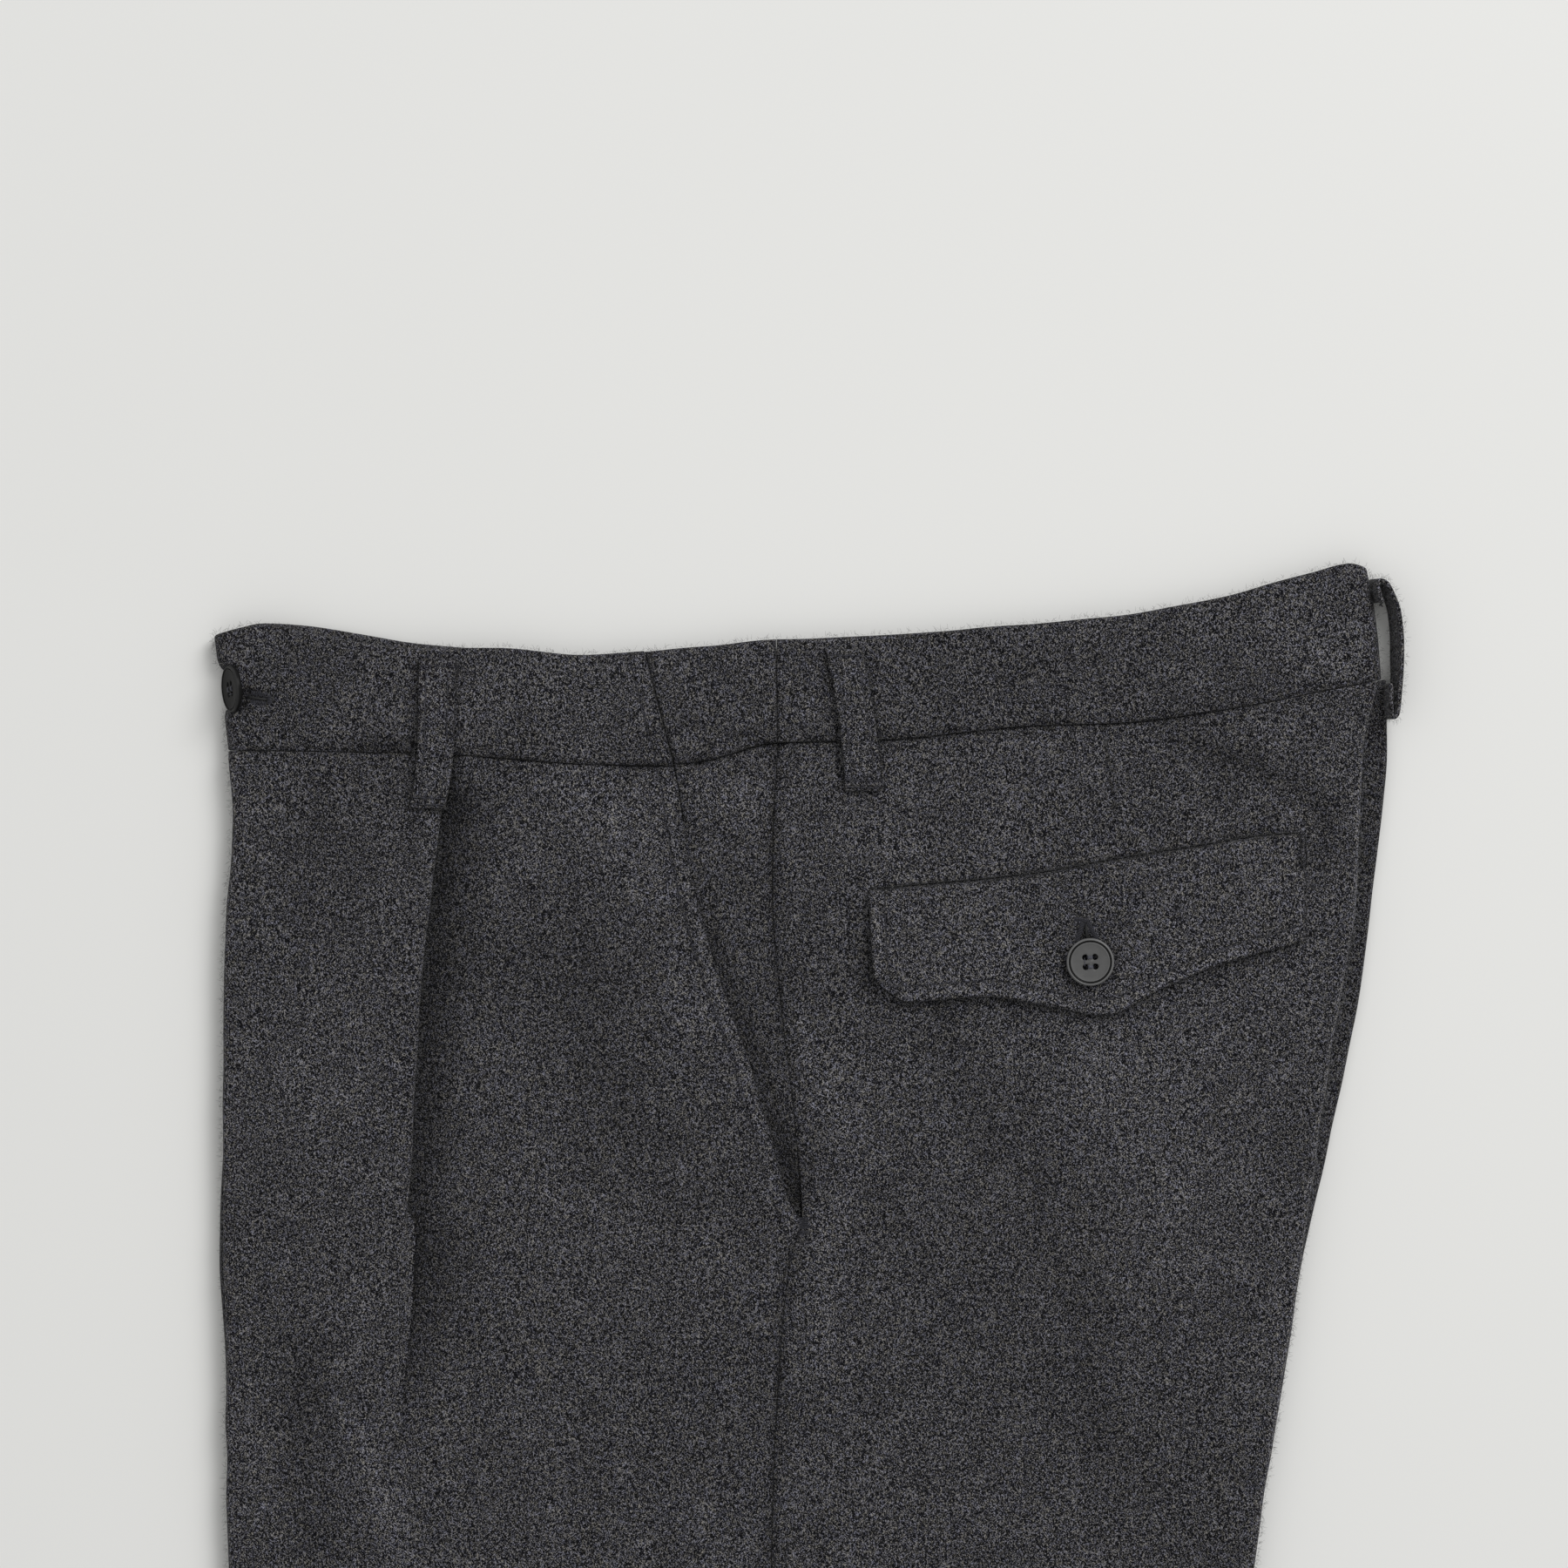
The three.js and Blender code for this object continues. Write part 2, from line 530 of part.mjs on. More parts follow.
// The back waistband runs from the side seam round half of the fold at the centre back
function backBand(half) {
  const radius = half.up * (half.band - PARTING_Z);
  const sections = spread(0, 1, POINTS.backBand.rows).map((v) => {
    const centreX = bandEnd(v, "back") - radius - BAND / 2;
    const face = spread(bandSide(v) + SEAM_GAP / 2, centreX, POINTS.backBand.flat).slice(0, -1);
    const quarter = BACK_FOLD_ANGLES.map(THREE.MathUtils.degToRad).map((angle) => ({
      x: centreX + radius * Math.sin(angle),
      z: PARTING_Z + half.up * radius * Math.cos(angle),
    }));
    const outline = [
      ...face.map((x) => ({ x, z: half.band })),
      ...quarter,
      { x: quarter.at(-1).x, z: PARTING_Z + (half.up * SEAM_GAP) / 2 },
    ];
    return outline.map((p) => point(p.x, bandY(REAR_WAIST, half, p.x, v), p.z));
  });
  return wall(sections, BAND);
}

// A belt loop sewn flat over the waistband and the top of the panel
function flatLoop(rows, height = (row) => row.z) {
  const sections = rows.map((row) =>
    spread(row.x - LOOP_WIDTH / 2, row.x + LOOP_WIDTH / 2, POINTS.loopWidth).map((x) =>
      point(x, row.y, height(row)),
    ),
  );
  return wall(sections, LOOP);
}

// The loop on the centre back seam stands on its edge and arches away from the waistband
function archedLoop() {
  const sections = spread(0, LOOP_WIDTH, POINTS.loopEdge).map((across) => {
    const lean = (across - LOOP_WIDTH / 2) * Math.sin(BACK_LOOP_TILT);
    return BACK_LOOP.map(({ x, y }) => point(x + lean, y, across * Math.cos(BACK_LOOP_TILT)));
  });
  return wall(sections, LOOP, "y");
}

// Distance below the seam of a height y on the back panel, past the rows that follow the seam
function depthAt(x, y) {
  const along = (x - PANEL_TOP.frontX) / (PANEL_TOP.backX - PANEL_TOP.frontX);
  const level = lerp(PANEL_TOP.front, PANEL_TOP.back, along);
  return (PATTERN_LENGTH * (level - y)) / (level - HEM_Y);
}

// The flap lies on the left back panel and lifts a little along its free edge
const FLAP_MIDDLE = CLOTH / 2 + FLAP_CLEARANCE + FLAP / 2;
const flapHeight = (x, y) => backHeight(LEFT, x, depthAt(x, y)) + FLAP_MIDDLE;
function flap() {
  const sections = spread(0, 1, POINTS.flapRows).map((v) =>
    FLAP_SECTIONS.map((row) => {
      const x = lerp(row.x, row.footX, v);
      const y = lerp(row.top, row.foot, v);
      return point(x, y, flapHeight(x, y) + row.lift * v);
    }),
  );
  return wall(sections, FLAP);
}

// Four-hole button: a dished disc with a round rim, its back at the local origin, facing local +Y
const BUTTON_PROFILE = [
  { r: 0, h: 0 },
  { r: 6.6, h: 0 },
  { r: 7.5, h: 0.6 },
  { r: 7.85, h: 1.3 },
  { r: 7.5, h: 2.1 },
  { r: 6.9, h: 2.3 },
  { r: 6.3, h: 2.1 },
  { r: 5.8, h: 1.6 },
  { r: 0, h: 1.6 },
];
const BUTTON_HOLE = { radius: 0.75, x: 1.5, z: 1.4 };
const BUTTON_SEGMENTS = 28;

const wasm = await Module();
wasm.setup();

function manifoldOf(geometry) {
  const bare = geometry.clone();
  bare.deleteAttribute("normal");
  bare.deleteAttribute("uv");
  const merged = mergeVertices(bare);
  const vertProperties = merged.attributes.position.array;
  const triVerts = new Uint32Array(merged.index.array);
  return new wasm.Manifold(new wasm.Mesh({ numProp: 3, vertProperties, triVerts }));
}

function buttonGeometry() {
  const outline = BUTTON_PROFILE.map(({ r, h }) => new THREE.Vector2(r, h));
  let body = manifoldOf(new THREE.LatheGeometry(outline, BUTTON_SEGMENTS));
  for (const x of [-BUTTON_HOLE.x, BUTTON_HOLE.x]) {
    for (const z of [-BUTTON_HOLE.z, BUTTON_HOLE.z]) {
      const { radius } = BUTTON_HOLE;
      const drill = new THREE.CylinderGeometry(radius, radius, DRILL_LENGTH, POINTS.holeSides);
      body = body.subtract(manifoldOf(drill.translate(x, 0, z)));
    }
  }
  const mesh = body.getMesh();
  const geometry = new THREE.BufferGeometry();
  geometry.setAttribute("position", new THREE.Float32BufferAttribute(mesh.vertProperties, 3));
  geometry.setIndex([...mesh.triVerts]);
  return geometry;
}

function button(name, backMiddle, facing) {
  const mesh = new THREE.Mesh(buttonGeometry(), horn());
  mesh.name = name;
  mesh.position.copy(backMiddle);
  mesh.quaternion.setFromUnitVectors(new THREE.Vector3(0, 1, 0), facing);
  return mesh;
}

const flannel = () => new THREE.MeshStandardMaterial({ color: "#39393b", roughness: 0.95, metalness: 0 });
const horn = () => new THREE.MeshStandardMaterial({ color: "#333436", roughness: 0.45, metalness: 0 });

function cloth(name, geometry) {
  const mesh = new THREE.Mesh(geometry, flannel());
  mesh.name = name;
  return mesh;
}

const trousers = new THREE.Group();
for (const [side, half] of [["left", LEFT], ["right", RIGHT]]) {
  trousers.add(cloth(`${side}_front`, wall(PANEL_ROWS.map((d) => frontSection(half, d)), CLOTH)));
  trousers.add(cloth(`${side}_back`, wall(PANEL_ROWS.map((d) => backSection(half, d)), CLOTH)));
  trousers.add(cloth(`${side}_pocket_facing`, wall(UPPER_ROWS.map((d) => facingSection(half, d)), CLOTH)));
  trousers.add(cloth(`${side}_waistband_side`, sideBand(half)));
  trousers.add(cloth(`${side}_waistband_back`, backBand(half)));
}
trousers.add(cloth("left_waistband_front", leftFrontBand()));
trousers.add(cloth("right_waistband_front", rightFrontBand()));
trousers.add(cloth("back_pocket_flap", flap()));
trousers.add(cloth("belt_loop_left_front", flatLoop(FRONT_LOOP)));
trousers.add(cloth("belt_loop_left_side", flatLoop(SIDE_LOOP)));
trousers.add(cloth("belt_loop_right_front", flatLoop(FRONT_LOOP, () => LOOP / 2)));
trousers.add(cloth("belt_loop_right_side", flatLoop(SIDE_LOOP, () => LOOP / 2)));
trousers.add(cloth("belt_loop_back", archedLoop()));

const waistButtonBack = WAIST_BUTTON.clone().addScaledVector(WAIST_BUTTON_FACING, -BUTTON_HEIGHT);
trousers.add(button("waist_button", waistButtonBack, WAIST_BUTTON_FACING));
const flapSurface = flapHeight(FLAP_BUTTON.x, FLAP_BUTTON.y) + FLAP / 2;
const flapTop = flapSurface + FLAP_BUTTON.lift + SEAM_GAP;
trousers.add(button("flap_button", point(FLAP_BUTTON.x, FLAP_BUTTON.y, flapTop), point(0, 0, 1)));

export default trousers;
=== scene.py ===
import math

import bpy
import numpy as np
from mathutils import Matrix, Vector
from mathutils.bvhtree import BVHTree

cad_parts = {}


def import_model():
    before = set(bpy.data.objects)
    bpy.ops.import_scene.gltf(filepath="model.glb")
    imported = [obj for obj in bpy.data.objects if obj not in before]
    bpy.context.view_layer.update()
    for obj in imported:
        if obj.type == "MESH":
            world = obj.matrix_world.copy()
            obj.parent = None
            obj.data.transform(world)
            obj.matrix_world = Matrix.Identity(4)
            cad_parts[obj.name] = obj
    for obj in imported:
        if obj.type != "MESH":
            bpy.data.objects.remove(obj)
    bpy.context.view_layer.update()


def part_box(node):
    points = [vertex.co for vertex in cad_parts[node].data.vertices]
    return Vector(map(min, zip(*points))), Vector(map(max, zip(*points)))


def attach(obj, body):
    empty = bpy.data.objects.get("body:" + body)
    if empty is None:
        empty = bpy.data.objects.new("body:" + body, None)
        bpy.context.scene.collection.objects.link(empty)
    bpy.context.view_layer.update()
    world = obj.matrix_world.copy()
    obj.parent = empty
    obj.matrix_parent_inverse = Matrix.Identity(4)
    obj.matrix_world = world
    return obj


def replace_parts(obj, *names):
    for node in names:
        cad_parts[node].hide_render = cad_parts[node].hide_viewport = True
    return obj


# Wide-leg flannel trousers, laid flat in profile on their right side, seen from straight above.
# All sizes are in millimetres until a mesh is made: +X is the garment's back, +Y its waist, +Z up.

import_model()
MM = 0.001
SEED = 11

# ---------------------------------------------------------------- driving sizes
CLOTH = 1.0
BAND = 2.6
LOOP = 1.4
FLAP = 1.8
LOOP_WIDTH = 12
SEAM = 0.12  # how far pieces stay apart at a seam
HEM_Y = -528
PATTERN_LENGTH = 1000
PLEAT_PITCH = 1.3
PLEAT_RELEASE = {"waist": 6, "leg": 9, "over": 30}  # width over which the low side comes back up
FACING_REACH = 14
LAP_REACH = 12
PARTING_Z = 5.15
EDGE_FLAT = 10
EDGE_SLOPE = 70
MOUTH_TOP = 498
MOUTH_END = 309
MOUTH_STEP = 0.5
TOPSTITCH = 5.5  # from the pocket mouth
FLAP_STITCH = 5.2  # from the flap's free edges
LOOP_ENDS = {"top": 2.0, "foot": 1.2, "foot inner": 3.4, "side": 2.4}  # stitch lines, from the loop's edges
FRONT_SEAM_Y = 460.6
MOUTH_SEAM_Y = 460.9
SIDE_SEAM_Y = 468.4
SIDE_X = -8
FRONT_X, FRONT_Y = -190, 466
BACK_X, BACK_Y = 187, 489
SETTLE = 100


def table(columns, rows):
    """A table with named columns, as arrays."""
    return {name: np.array(values, float) for name, values in zip(columns.split(), zip(*rows))}


STATIONS = table(
    "y front front_under back back_under side front_inner back_inner",
    [
        (489, -190.3, -190.0, 187.0, 189.6, -10.5, -186.0, 183.0),
        (466, -190.3, -190.0, 181.6, 190.0, -10.2, -186.0, 172.0),
        (444, -188.7, -188.5, 181.0, 188.4, -11.5, -183.5, 162.0),
        (420, -190.4, -190.2, 179.9, 185.4, -11.9, -181.0, 152.0),
        (386, -191.7, -191.5, 174.5, 181.0, -9.4, -173.0, 132.0),
        (341, -191.9, -192.0, 167.5, 171.7, -4.2, -158.5, 97.0),
        (312, -191.9, -193.3, 163.5, 165.1, -2.2, -148.0, 72.0),
        (298, -191.8, -193.4, 161.4, 162.0, -6.2, -142.0, 58.0),
        (266, -191.1, -191.6, 156.3, 157.0, -9.4, -129.0, 24.0),
        (226, -190.9, -191.0, 150.0, 150.3, -11.6, -105.0, -22.0),
        (176, -189.4, -189.6, 142.6, 143.0, -12.6, -64.2, -63.8),
        (160, -189.0, -189.2, 140.5, 140.9, -13.0, -63.8, -63.4),
        (84, -186.5, -187.0, 131.0, 131.5, -15.0, -61.7, -61.3),
        (-145, -179.0, -179.4, 110.0, 110.3, -23.0, -57.2, -56.8),
        (-528, -165.0, -165.6, 92.0, 92.8, -37.0, -48.2, -47.8),
    ],
)
LEVELS = table(
    "d edge middle inner under_inner under_edge under_middle",
    [
        (0, 8.0, 7.2, 5.8, 4.5, 2.3, 2.3),
        (20, 8.0, 6.9, 5.7, 4.4, 2.3, 2.3),
        (50, 8.2, 6.3, 5.0, 3.7, 0.8, 1.5),
        (75, 8.3, 6.2, 4.8, 3.5, 0.5, 1.4),
        (230, 8.3, 6.2, 4.8, 3.5, 0.5, 1.4),
        (310, 8.3, 7.0, 4.8, 3.5, 0.5, 0.5),
        (430, 8.3, 7.8, 4.8, 3.5, 0.5, 0.5),
        (1000, 8.3, 7.8, 4.8, 3.5, 0.5, 0.5),
    ],
)
FRONT_WAIST = table(
    "x top under_top seam",
    [
        (-196, 503.6, 502.5, 466.0),
        (-179, 507.6, 507.9, 465.8),
        (-165, 504.8, 506.9, 465.6),
        (-147, 501.2, 504.1, 465.3),
        (-128, 499.4, 501.0, 465.0),
        (-103, 499.5, 498.9, 463.7),
        (-75, 497.3, 496.6, 461.6),
        (-42, 499.5, 498.6, 460.6),
    ],
)
REAR_WAIST = table(
    "x top under_top seam",
    [
        (-56, 498.0, 497.0, 460.2),
        (-33, 500.5, 499.5, 462.8),
        (-11, 502.4, 501.4, 468.4),
        (24, 504.0, 503.0, 469.4),
        (73, 507.6, 506.6, 474.0),
        (102, 510.4, 509.4, 475.0),
        (137, 516.7, 515.7, 479.4),
        (165, 524.6, 523.6, 484.6),
        (178, 527.6, 526.6, 487.2),
        (189, 521.5, 520.5, 489.3),
    ],
)
BAND_ENDS = table(
    "v front back",
    [(0, -195.2, 183.0), (0.3, -193.7, 185.5), (0.65, -192.0, 187.1), (1, -190.4, 188.0)],
)
MOUTH = table(
    "y x",
    [
        (500, -54.6), (480, -49.0), (460, -44.1), (430, -39.2), (400, -32.2), (370, -21.5), (340, -12.6),
        (318, -6.5), (MOUTH_END, 0),
    ],
)
LEFT_PLEAT = table(
    "d x depth step",
    [
        (0, -118.0, 15, 1),
        (50, -123.8, 12, 1),
        (100, -127.9, 8, 1),
        (150, -130.8, 3, 1),
        (165, -131.7, 0, 1),
        (240, -138.5, 0, 0),
    ],
)
RIGHT_PLEAT = table(
    "d x depth step",
    [
        (0, -88.0, 12, 1),
        (75, -91.0, 8, 1),
        (125, -93.0, 3, 1),
        (150, -94.0, 0, 1),
        (230, -97.0, 0, 0),
    ],
)
# sink: how much further the pleat's low side drops; pitch: how far the facing lies under the mouth
LEFT = {
    "up": 1, "front": "front", "back": "back", "edge": "edge", "middle": "middle", "inner": "inner",
    "top": "top", "band": 7.3, "pleat": LEFT_PLEAT, "fine": 1, "sink": 1.1, "pitch": 1.4, "wave": 0.3,
}
RIGHT = {
    "up": -1, "front": "front_under", "back": "back_under", "edge": "under_edge", "middle": "under_middle",
    "inner": "under_inner", "top": "under_top", "band": 3.0, "pleat": RIGHT_PLEAT, "fine": 0.4, "sink": 0,
    "pitch": 0.5, "wave": 0.15,
}
LAP_Z = 1.3
TONGUE = {"z": 4.2, "end": 7.9, "flat": 14, "ramp": 14}

# The back pocket flap: upper edge and foot, with how far the free edge lifts
FLAP_EDGE = table(
    "x top foot lift",
    [
        (19.5, 420.2, 391.0, 1.5),
        (22.6, 420.4, 387.0, 1.4),
        (27.5, 420.9, 383.5, 1.2),
        (40, 422.0, 384.0, 0.9),
        (58, 423.6, 385.2, 0.8),
        (78, 426.0, 382.2, 0.6),
        (97, 429.5, 379.0, 0.6),
        (115, 432.4, 387.4, 0.5),
        (132, 435.2, 394.6, 0.4),
        (148, 437.7, 399.5, 0.2),
        (162.5, 438.8, 403.5, 0),
    ],
)
FLAP_LEFT = table("y x", [(421, 19.6), (400, 20.6), (391, 21.6), (383, 25.0)])
FLAP_LEFT_X, FLAP_RIGHT_X = 19.6, 162.5
FLAP_CLEARANCE = 0.3

FRONT_LOOP = table(
    "y x z",
    [(495.6, -121.7, 9.6), (481, -121.9, 9.9), (468, -122.2, 9.6), (458, -123.0, 9.6), (447, -125.0, 9.5)],
)
SIDE_LOOP = table(
    "y x z",
    [(499.1, 11.6, 9.6), (489, 13.7, 9.9), (470, 16.6, 9.6), (460, 17.6, 8.9), (452.7, 17.9, 8.6)],
)
# The back loop's path: a turned-in end at the top, the strap, and a longer turned-in end at the foot
BACK_LOOP = table(
    "s x y",
    [
        (0, 187.0, 514.4), (6.2, 185.4, 520.4), (7.8, 186.2, 521.7), (9.4, 187.8, 521.2),
        (13.5, 190.2, 517.4), (20, 192.4, 511.0), (29, 193.2, 502.0), (39, 193.2, 492.0),
        (48, 192.6, 483.0), (53.2, 191.8, 477.9), (54.6, 190.8, 476.9), (56, 189.9, 478.0),
        (66, 189.5, 488.0),
    ],
)
BACK_LOOP_TILT = math.radians(12)
DART = table("y x", [(480, 96), (458, 98.9), (437, 101.9)])
DART_ROOM = 30  # at least, to the back fold

BUTTON_HEIGHT = 2.3
WAIST_BUTTON = Vector((-190.0, 486.1, 8.6))
WAIST_BUTTON_FACING = Vector((-0.918, -0.075, 0.391)).normalized()
WAIST_BUTTON_FOOT = WAIST_BUTTON - BUTTON_HEIGHT * WAIST_BUTTON_FACING
FLAP_BUTTON = Vector((92.3, 396.7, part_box("flap_button")[0][2] / MM))
BUTTON_HOLD = {"radius": 8.0, "ease": 1.3, "clear": 0.25}

# Soft troughs (height below 0) and ridges of the upper cloth: lines in x and y, half width and height
CREASES = {
    "pocket buckle": ([(-46, 477), (-33, 474.3), (-21, 471.4), (-11.5, 468.6)], 2.4, -1.2),
    "mouth hollow": ([(-44, 474), (-37, 469), (-33, 460)], 5.5, -1.1),
    "mouth pucker": ([(-33.5, 470), (-33, 464), (-38, 459)], 1.6, -0.7),
    "yoke light": ([(-72, 455), (-60, 425)], 14, 1.0),
    "front hollow": ([(-84, 400), (-70, 360), (-66, 300)], 17, -1.1),
    "front swell": ([(-110, 420), (-104, 380)], 10, 0.5),
    "seam ridge": ([(-6, 372), (8, 350), (14, 330), (5, 312), (3, 280), (2, 230)], 5, 1.0),
    "seam ridge end": ([(-0.5, 306), (-2.6, 286)], 2.2, 0.5),
    "back hollow": ([(118, 471), (130, 464), (150, 457), (167, 449), (171, 430)], 4.5, -1.5),
    "hollow crest": ([(128, 474), (148, 467), (168, 461)], 5, 0.7),
    "mouth end hollow": ([(14, 322), (32, 308), (36, 292)], 8, -0.9),
    "pocket impression": ([(3, 424), (17, 422)], 1.2, -0.4),
    "seat hollow": ([(48, 374), (72, 342), (88, 296), (94, 240), (96, 160)], 13, -1.3),
    "seat swell": ([(112, 372), (118, 330), (120, 270)], 14, 0.8),
    "flap shelf": ([(22, 376), (60, 377)], 5, 0.3),
    "knee crease": ([(-162, 262), (-158, 240), (-146, 200), (-138, 150)], 5.5, -1.3),
    "knee crest": ([(-151, 248), (-137, 205), (-128, 170)], 4, 0.7),
    "fold nick": ([(-176, 274), (-171, 271)], 2, -0.6),
    "fold hollow": ([(-176, 262), (-172, 200)], 8, -0.7),
    "thigh hollow": ([(-52, 260), (-46, 215), (-44, 150)], 14, -0.7),
    "loop hollow": ([(-146, 467), (-137, 465)], 5, -0.6),
    "low swell": ([(-100, 260), (-96, 200)], 16, 0.6),
}
# Patches of painted shade (above 0) and painted highlight (below 0) on the upper cloth: lines in x and y,
# half width and amount
PAINTED_LIGHT_AND_SHADE = {
    "yoke": ([(-72, 455), (-52, 428)], 13, -0.26),
    "front": ([(-82, 398), (-64, 345)], 16, 0.17),
    "fly side": ([(-160, 445), (-157, 418)], 13, 0.14),
    "seat light": ([(98, 362), (124, 320)], 24, -0.2),
    "seat hollow": ([(46, 376), (52, 352), (72, 330), (88, 296), (94, 240)], 8, 0.17),
    "mouth end": ([(26, 320), (34, 294)], 7, 0.1),
    "back diagonal": ([(120, 470), (142, 461), (165, 452), (171, 444), (168, 429)], 4.5, 0.26),
    "band end": ([(160, 506), (176, 494)], 9, -0.2),
    "band back": ([(66, 492), (106, 494)], 14, 0.14),
    "knee dark": ([(-166, 266), (-160, 205)], 10, 0.3),
    "knee crest": ([(-152, 249), (-135, 203)], 5, -0.3),
    "facing": ([(-32, 457), (-18, 446)], 8, -0.22),
    "loop foot": ([(-126, 462), (-110, 450)], 7, 0.2),
    "seam light": ([(-3.7, 375), (10.6, 349), (16.3, 329), (4.9, 309), (3.4, 278)], 5, -0.2),
    "side crease": ([(-45, 476.4), (-33, 474.1), (-20.6, 471.3), (-13, 468.8)], 1.8, 0.24),
    "side pucker": ([(-33.7, 470.1), (-33.1, 465.6), (-37.7, 459.9)], 1.3, 0.36),
    "double line": ([(-60.9, 460.4), (-45.7, 461.6)], 0.9, 0.4),
    "seam blotch": ([(-152, 467.6), (-129, 467.8)], 1.6, 0.25),
    "far band": ([(-178, 508.0), (-166, 506.0), (-155, 503.8), (-143, 501.8), (-132, 499.8)], 0.8, 0.5),
    "near band": ([(-178, 506.8), (-166, 504.7), (-155, 502.4), (-143, 500.3), (-131, 498.0)], 0.7, -0.4),
    "band ridge": ([(89.4, 504), (90.6, 497.6), (94.3, 483.6)], 1.6, -0.22),
    "band ridge side": ([(91.6, 504), (92.9, 497.6), (96.4, 483.6)], 1.4, 0.2),
    "flap mark": ([(2.9, 423.6), (16.9, 422.1)], 1.0, 0.28),
    "waist button": ([(-184.5, 486), (-177, 483.2)], 2.4, 0.6),
    "waist button foot": ([(-185.5, 479.5), (-184, 483)], 1.6, 0.5),
}


def smooth(t):
    t = np.clip(t, 0, 1)
    return t * t * (3 - 2 * t)


def ramp(value, start, stop):
    """From 0 at start to 1 at stop, with soft ends."""
    return smooth((value - start) / (stop - start))


def mix(a, b, t):
    return a + (b - a) * t


def bell(distance, width):
    return np.exp(-((distance / width) ** 2))


def read(rows, key, at, column):
    """A column's value at a key, on a curve that never swings past its rows."""
    keys, values = rows[key], rows[column]
    if keys[0] > keys[-1]:
        keys, values = keys[::-1], values[::-1]
    slopes = np.diff(values) / np.diff(keys)
    tangents = np.concatenate([slopes[:1], np.zeros(len(keys) - 2), slopes[-1:]])
    before, after = slopes[:-1], slopes[1:]
    same = before * after > 0
    tangents[1:-1][same] = 2 * (before * after)[same] / (before + after)[same]
    at = np.clip(at, keys[0], keys[-1])
    i = np.clip(np.searchsorted(keys, at, side="right") - 1, 0, len(keys) - 2)
    width = keys[i + 1] - keys[i]
    t = (at - keys[i]) / width
    start = values[i] * (1 + 2 * t) * (1 - t) ** 2 + tangents[i] * width * t * (1 - t) ** 2
    end = values[i + 1] * t * t * (3 - 2 * t) + tangents[i + 1] * width * t * t * (t - 1)
    return start + end


# ---------------------------------------------------------------- relief of the cloth
def line_distance(x, y, points):
    """Distance to a line through points, and how far along it (0 to 1) the nearest place is."""
    best = np.full(np.shape(x), 1e9)
    place = np.zeros(np.shape(x))
    lengths = [math.dist(a, b) for a, b in zip(points, points[1:])]
    done = 0
    for (ax, ay), (bx, by), length in zip(points, points[1:], lengths):
        t = np.clip(((x - ax) * (bx - ax) + (y - ay) * (by - ay)) / length**2, 0, 1)
        distance = np.hypot(x - mix(ax, bx, t), y - mix(ay, by, t))
        nearer = distance < best
        place = np.where(nearer, (done + t * length) / sum(lengths), place)
        best = np.minimum(best, distance)
        done += length
    return best, place


NOISE_CELLS = 64


def value_noise(x, y, size, seed):
    """Smooth noise from -1 to 1 with features of the given size."""
    grid = np.random.default_rng(SEED + seed).uniform(-1, 1, (NOISE_CELLS, NOISE_CELLS))
    u, v = x / size + 8 * NOISE_CELLS, y / size + 8 * NOISE_CELLS
    i, j = np.floor(u).astype(int), np.floor(v).astype(int)
    s, t = smooth(u - i), smooth(v - j)

    def corner(a, b):
        return grid[(i + a) % NOISE_CELLS, (j + b) % NOISE_CELLS]

    return mix(mix(corner(0, 0), corner(1, 0), s), mix(corner(0, 1), corner(1, 1), s), t)


# Waves over a piece or along a line: amount, size and seed of each
WAVES = {
    "cloth": [(0.55, 47, 1), (0.28, 19, 2)],
    "nap": [(0.07, 33, 15), (0.05, 12, 16)],
    "band": [(0.3, 24, 8), (0.12, 9, 9)],
    "flap": [(0.25, 14, 21)],
    "flap nap": [(0.08, 20, 15)],
    "flap edge": [(0.3, 7, 22)],
    "front loop": [(0.2, 9, 41), (0.14, 4, 42)],
    "side loop": [(0.2, 9, 44), (0.14, 4, 45)],
    "back loop": [(0.22, 11, 31)],
    "mouth": [(0.25, 11, 50)],
    "pleat": [(0.45, 17, 51)],
    "front fold": [(1, 13, 52)],
    "back fold": [(1, 13, 53)],
    "band top": [(1, 15, 54)],
    "topstitch": [(0.2, 3, 14)],
    "side line": [(0.12, 20, 9)],
    "side roll": [(0.25, 30, 6)],
}
# Small waves beside the seams: a coarse one and a fine one
PUCKER_SEEDS = {"waist pucker": 3, "mouth pucker": 4, "side pucker": 7, "band pucker": 10}
for name, seed in PUCKER_SEEDS.items():
    WAVES[name] = [(0.24, 5.5, seed), (0.12, 2.6, seed + 60)]
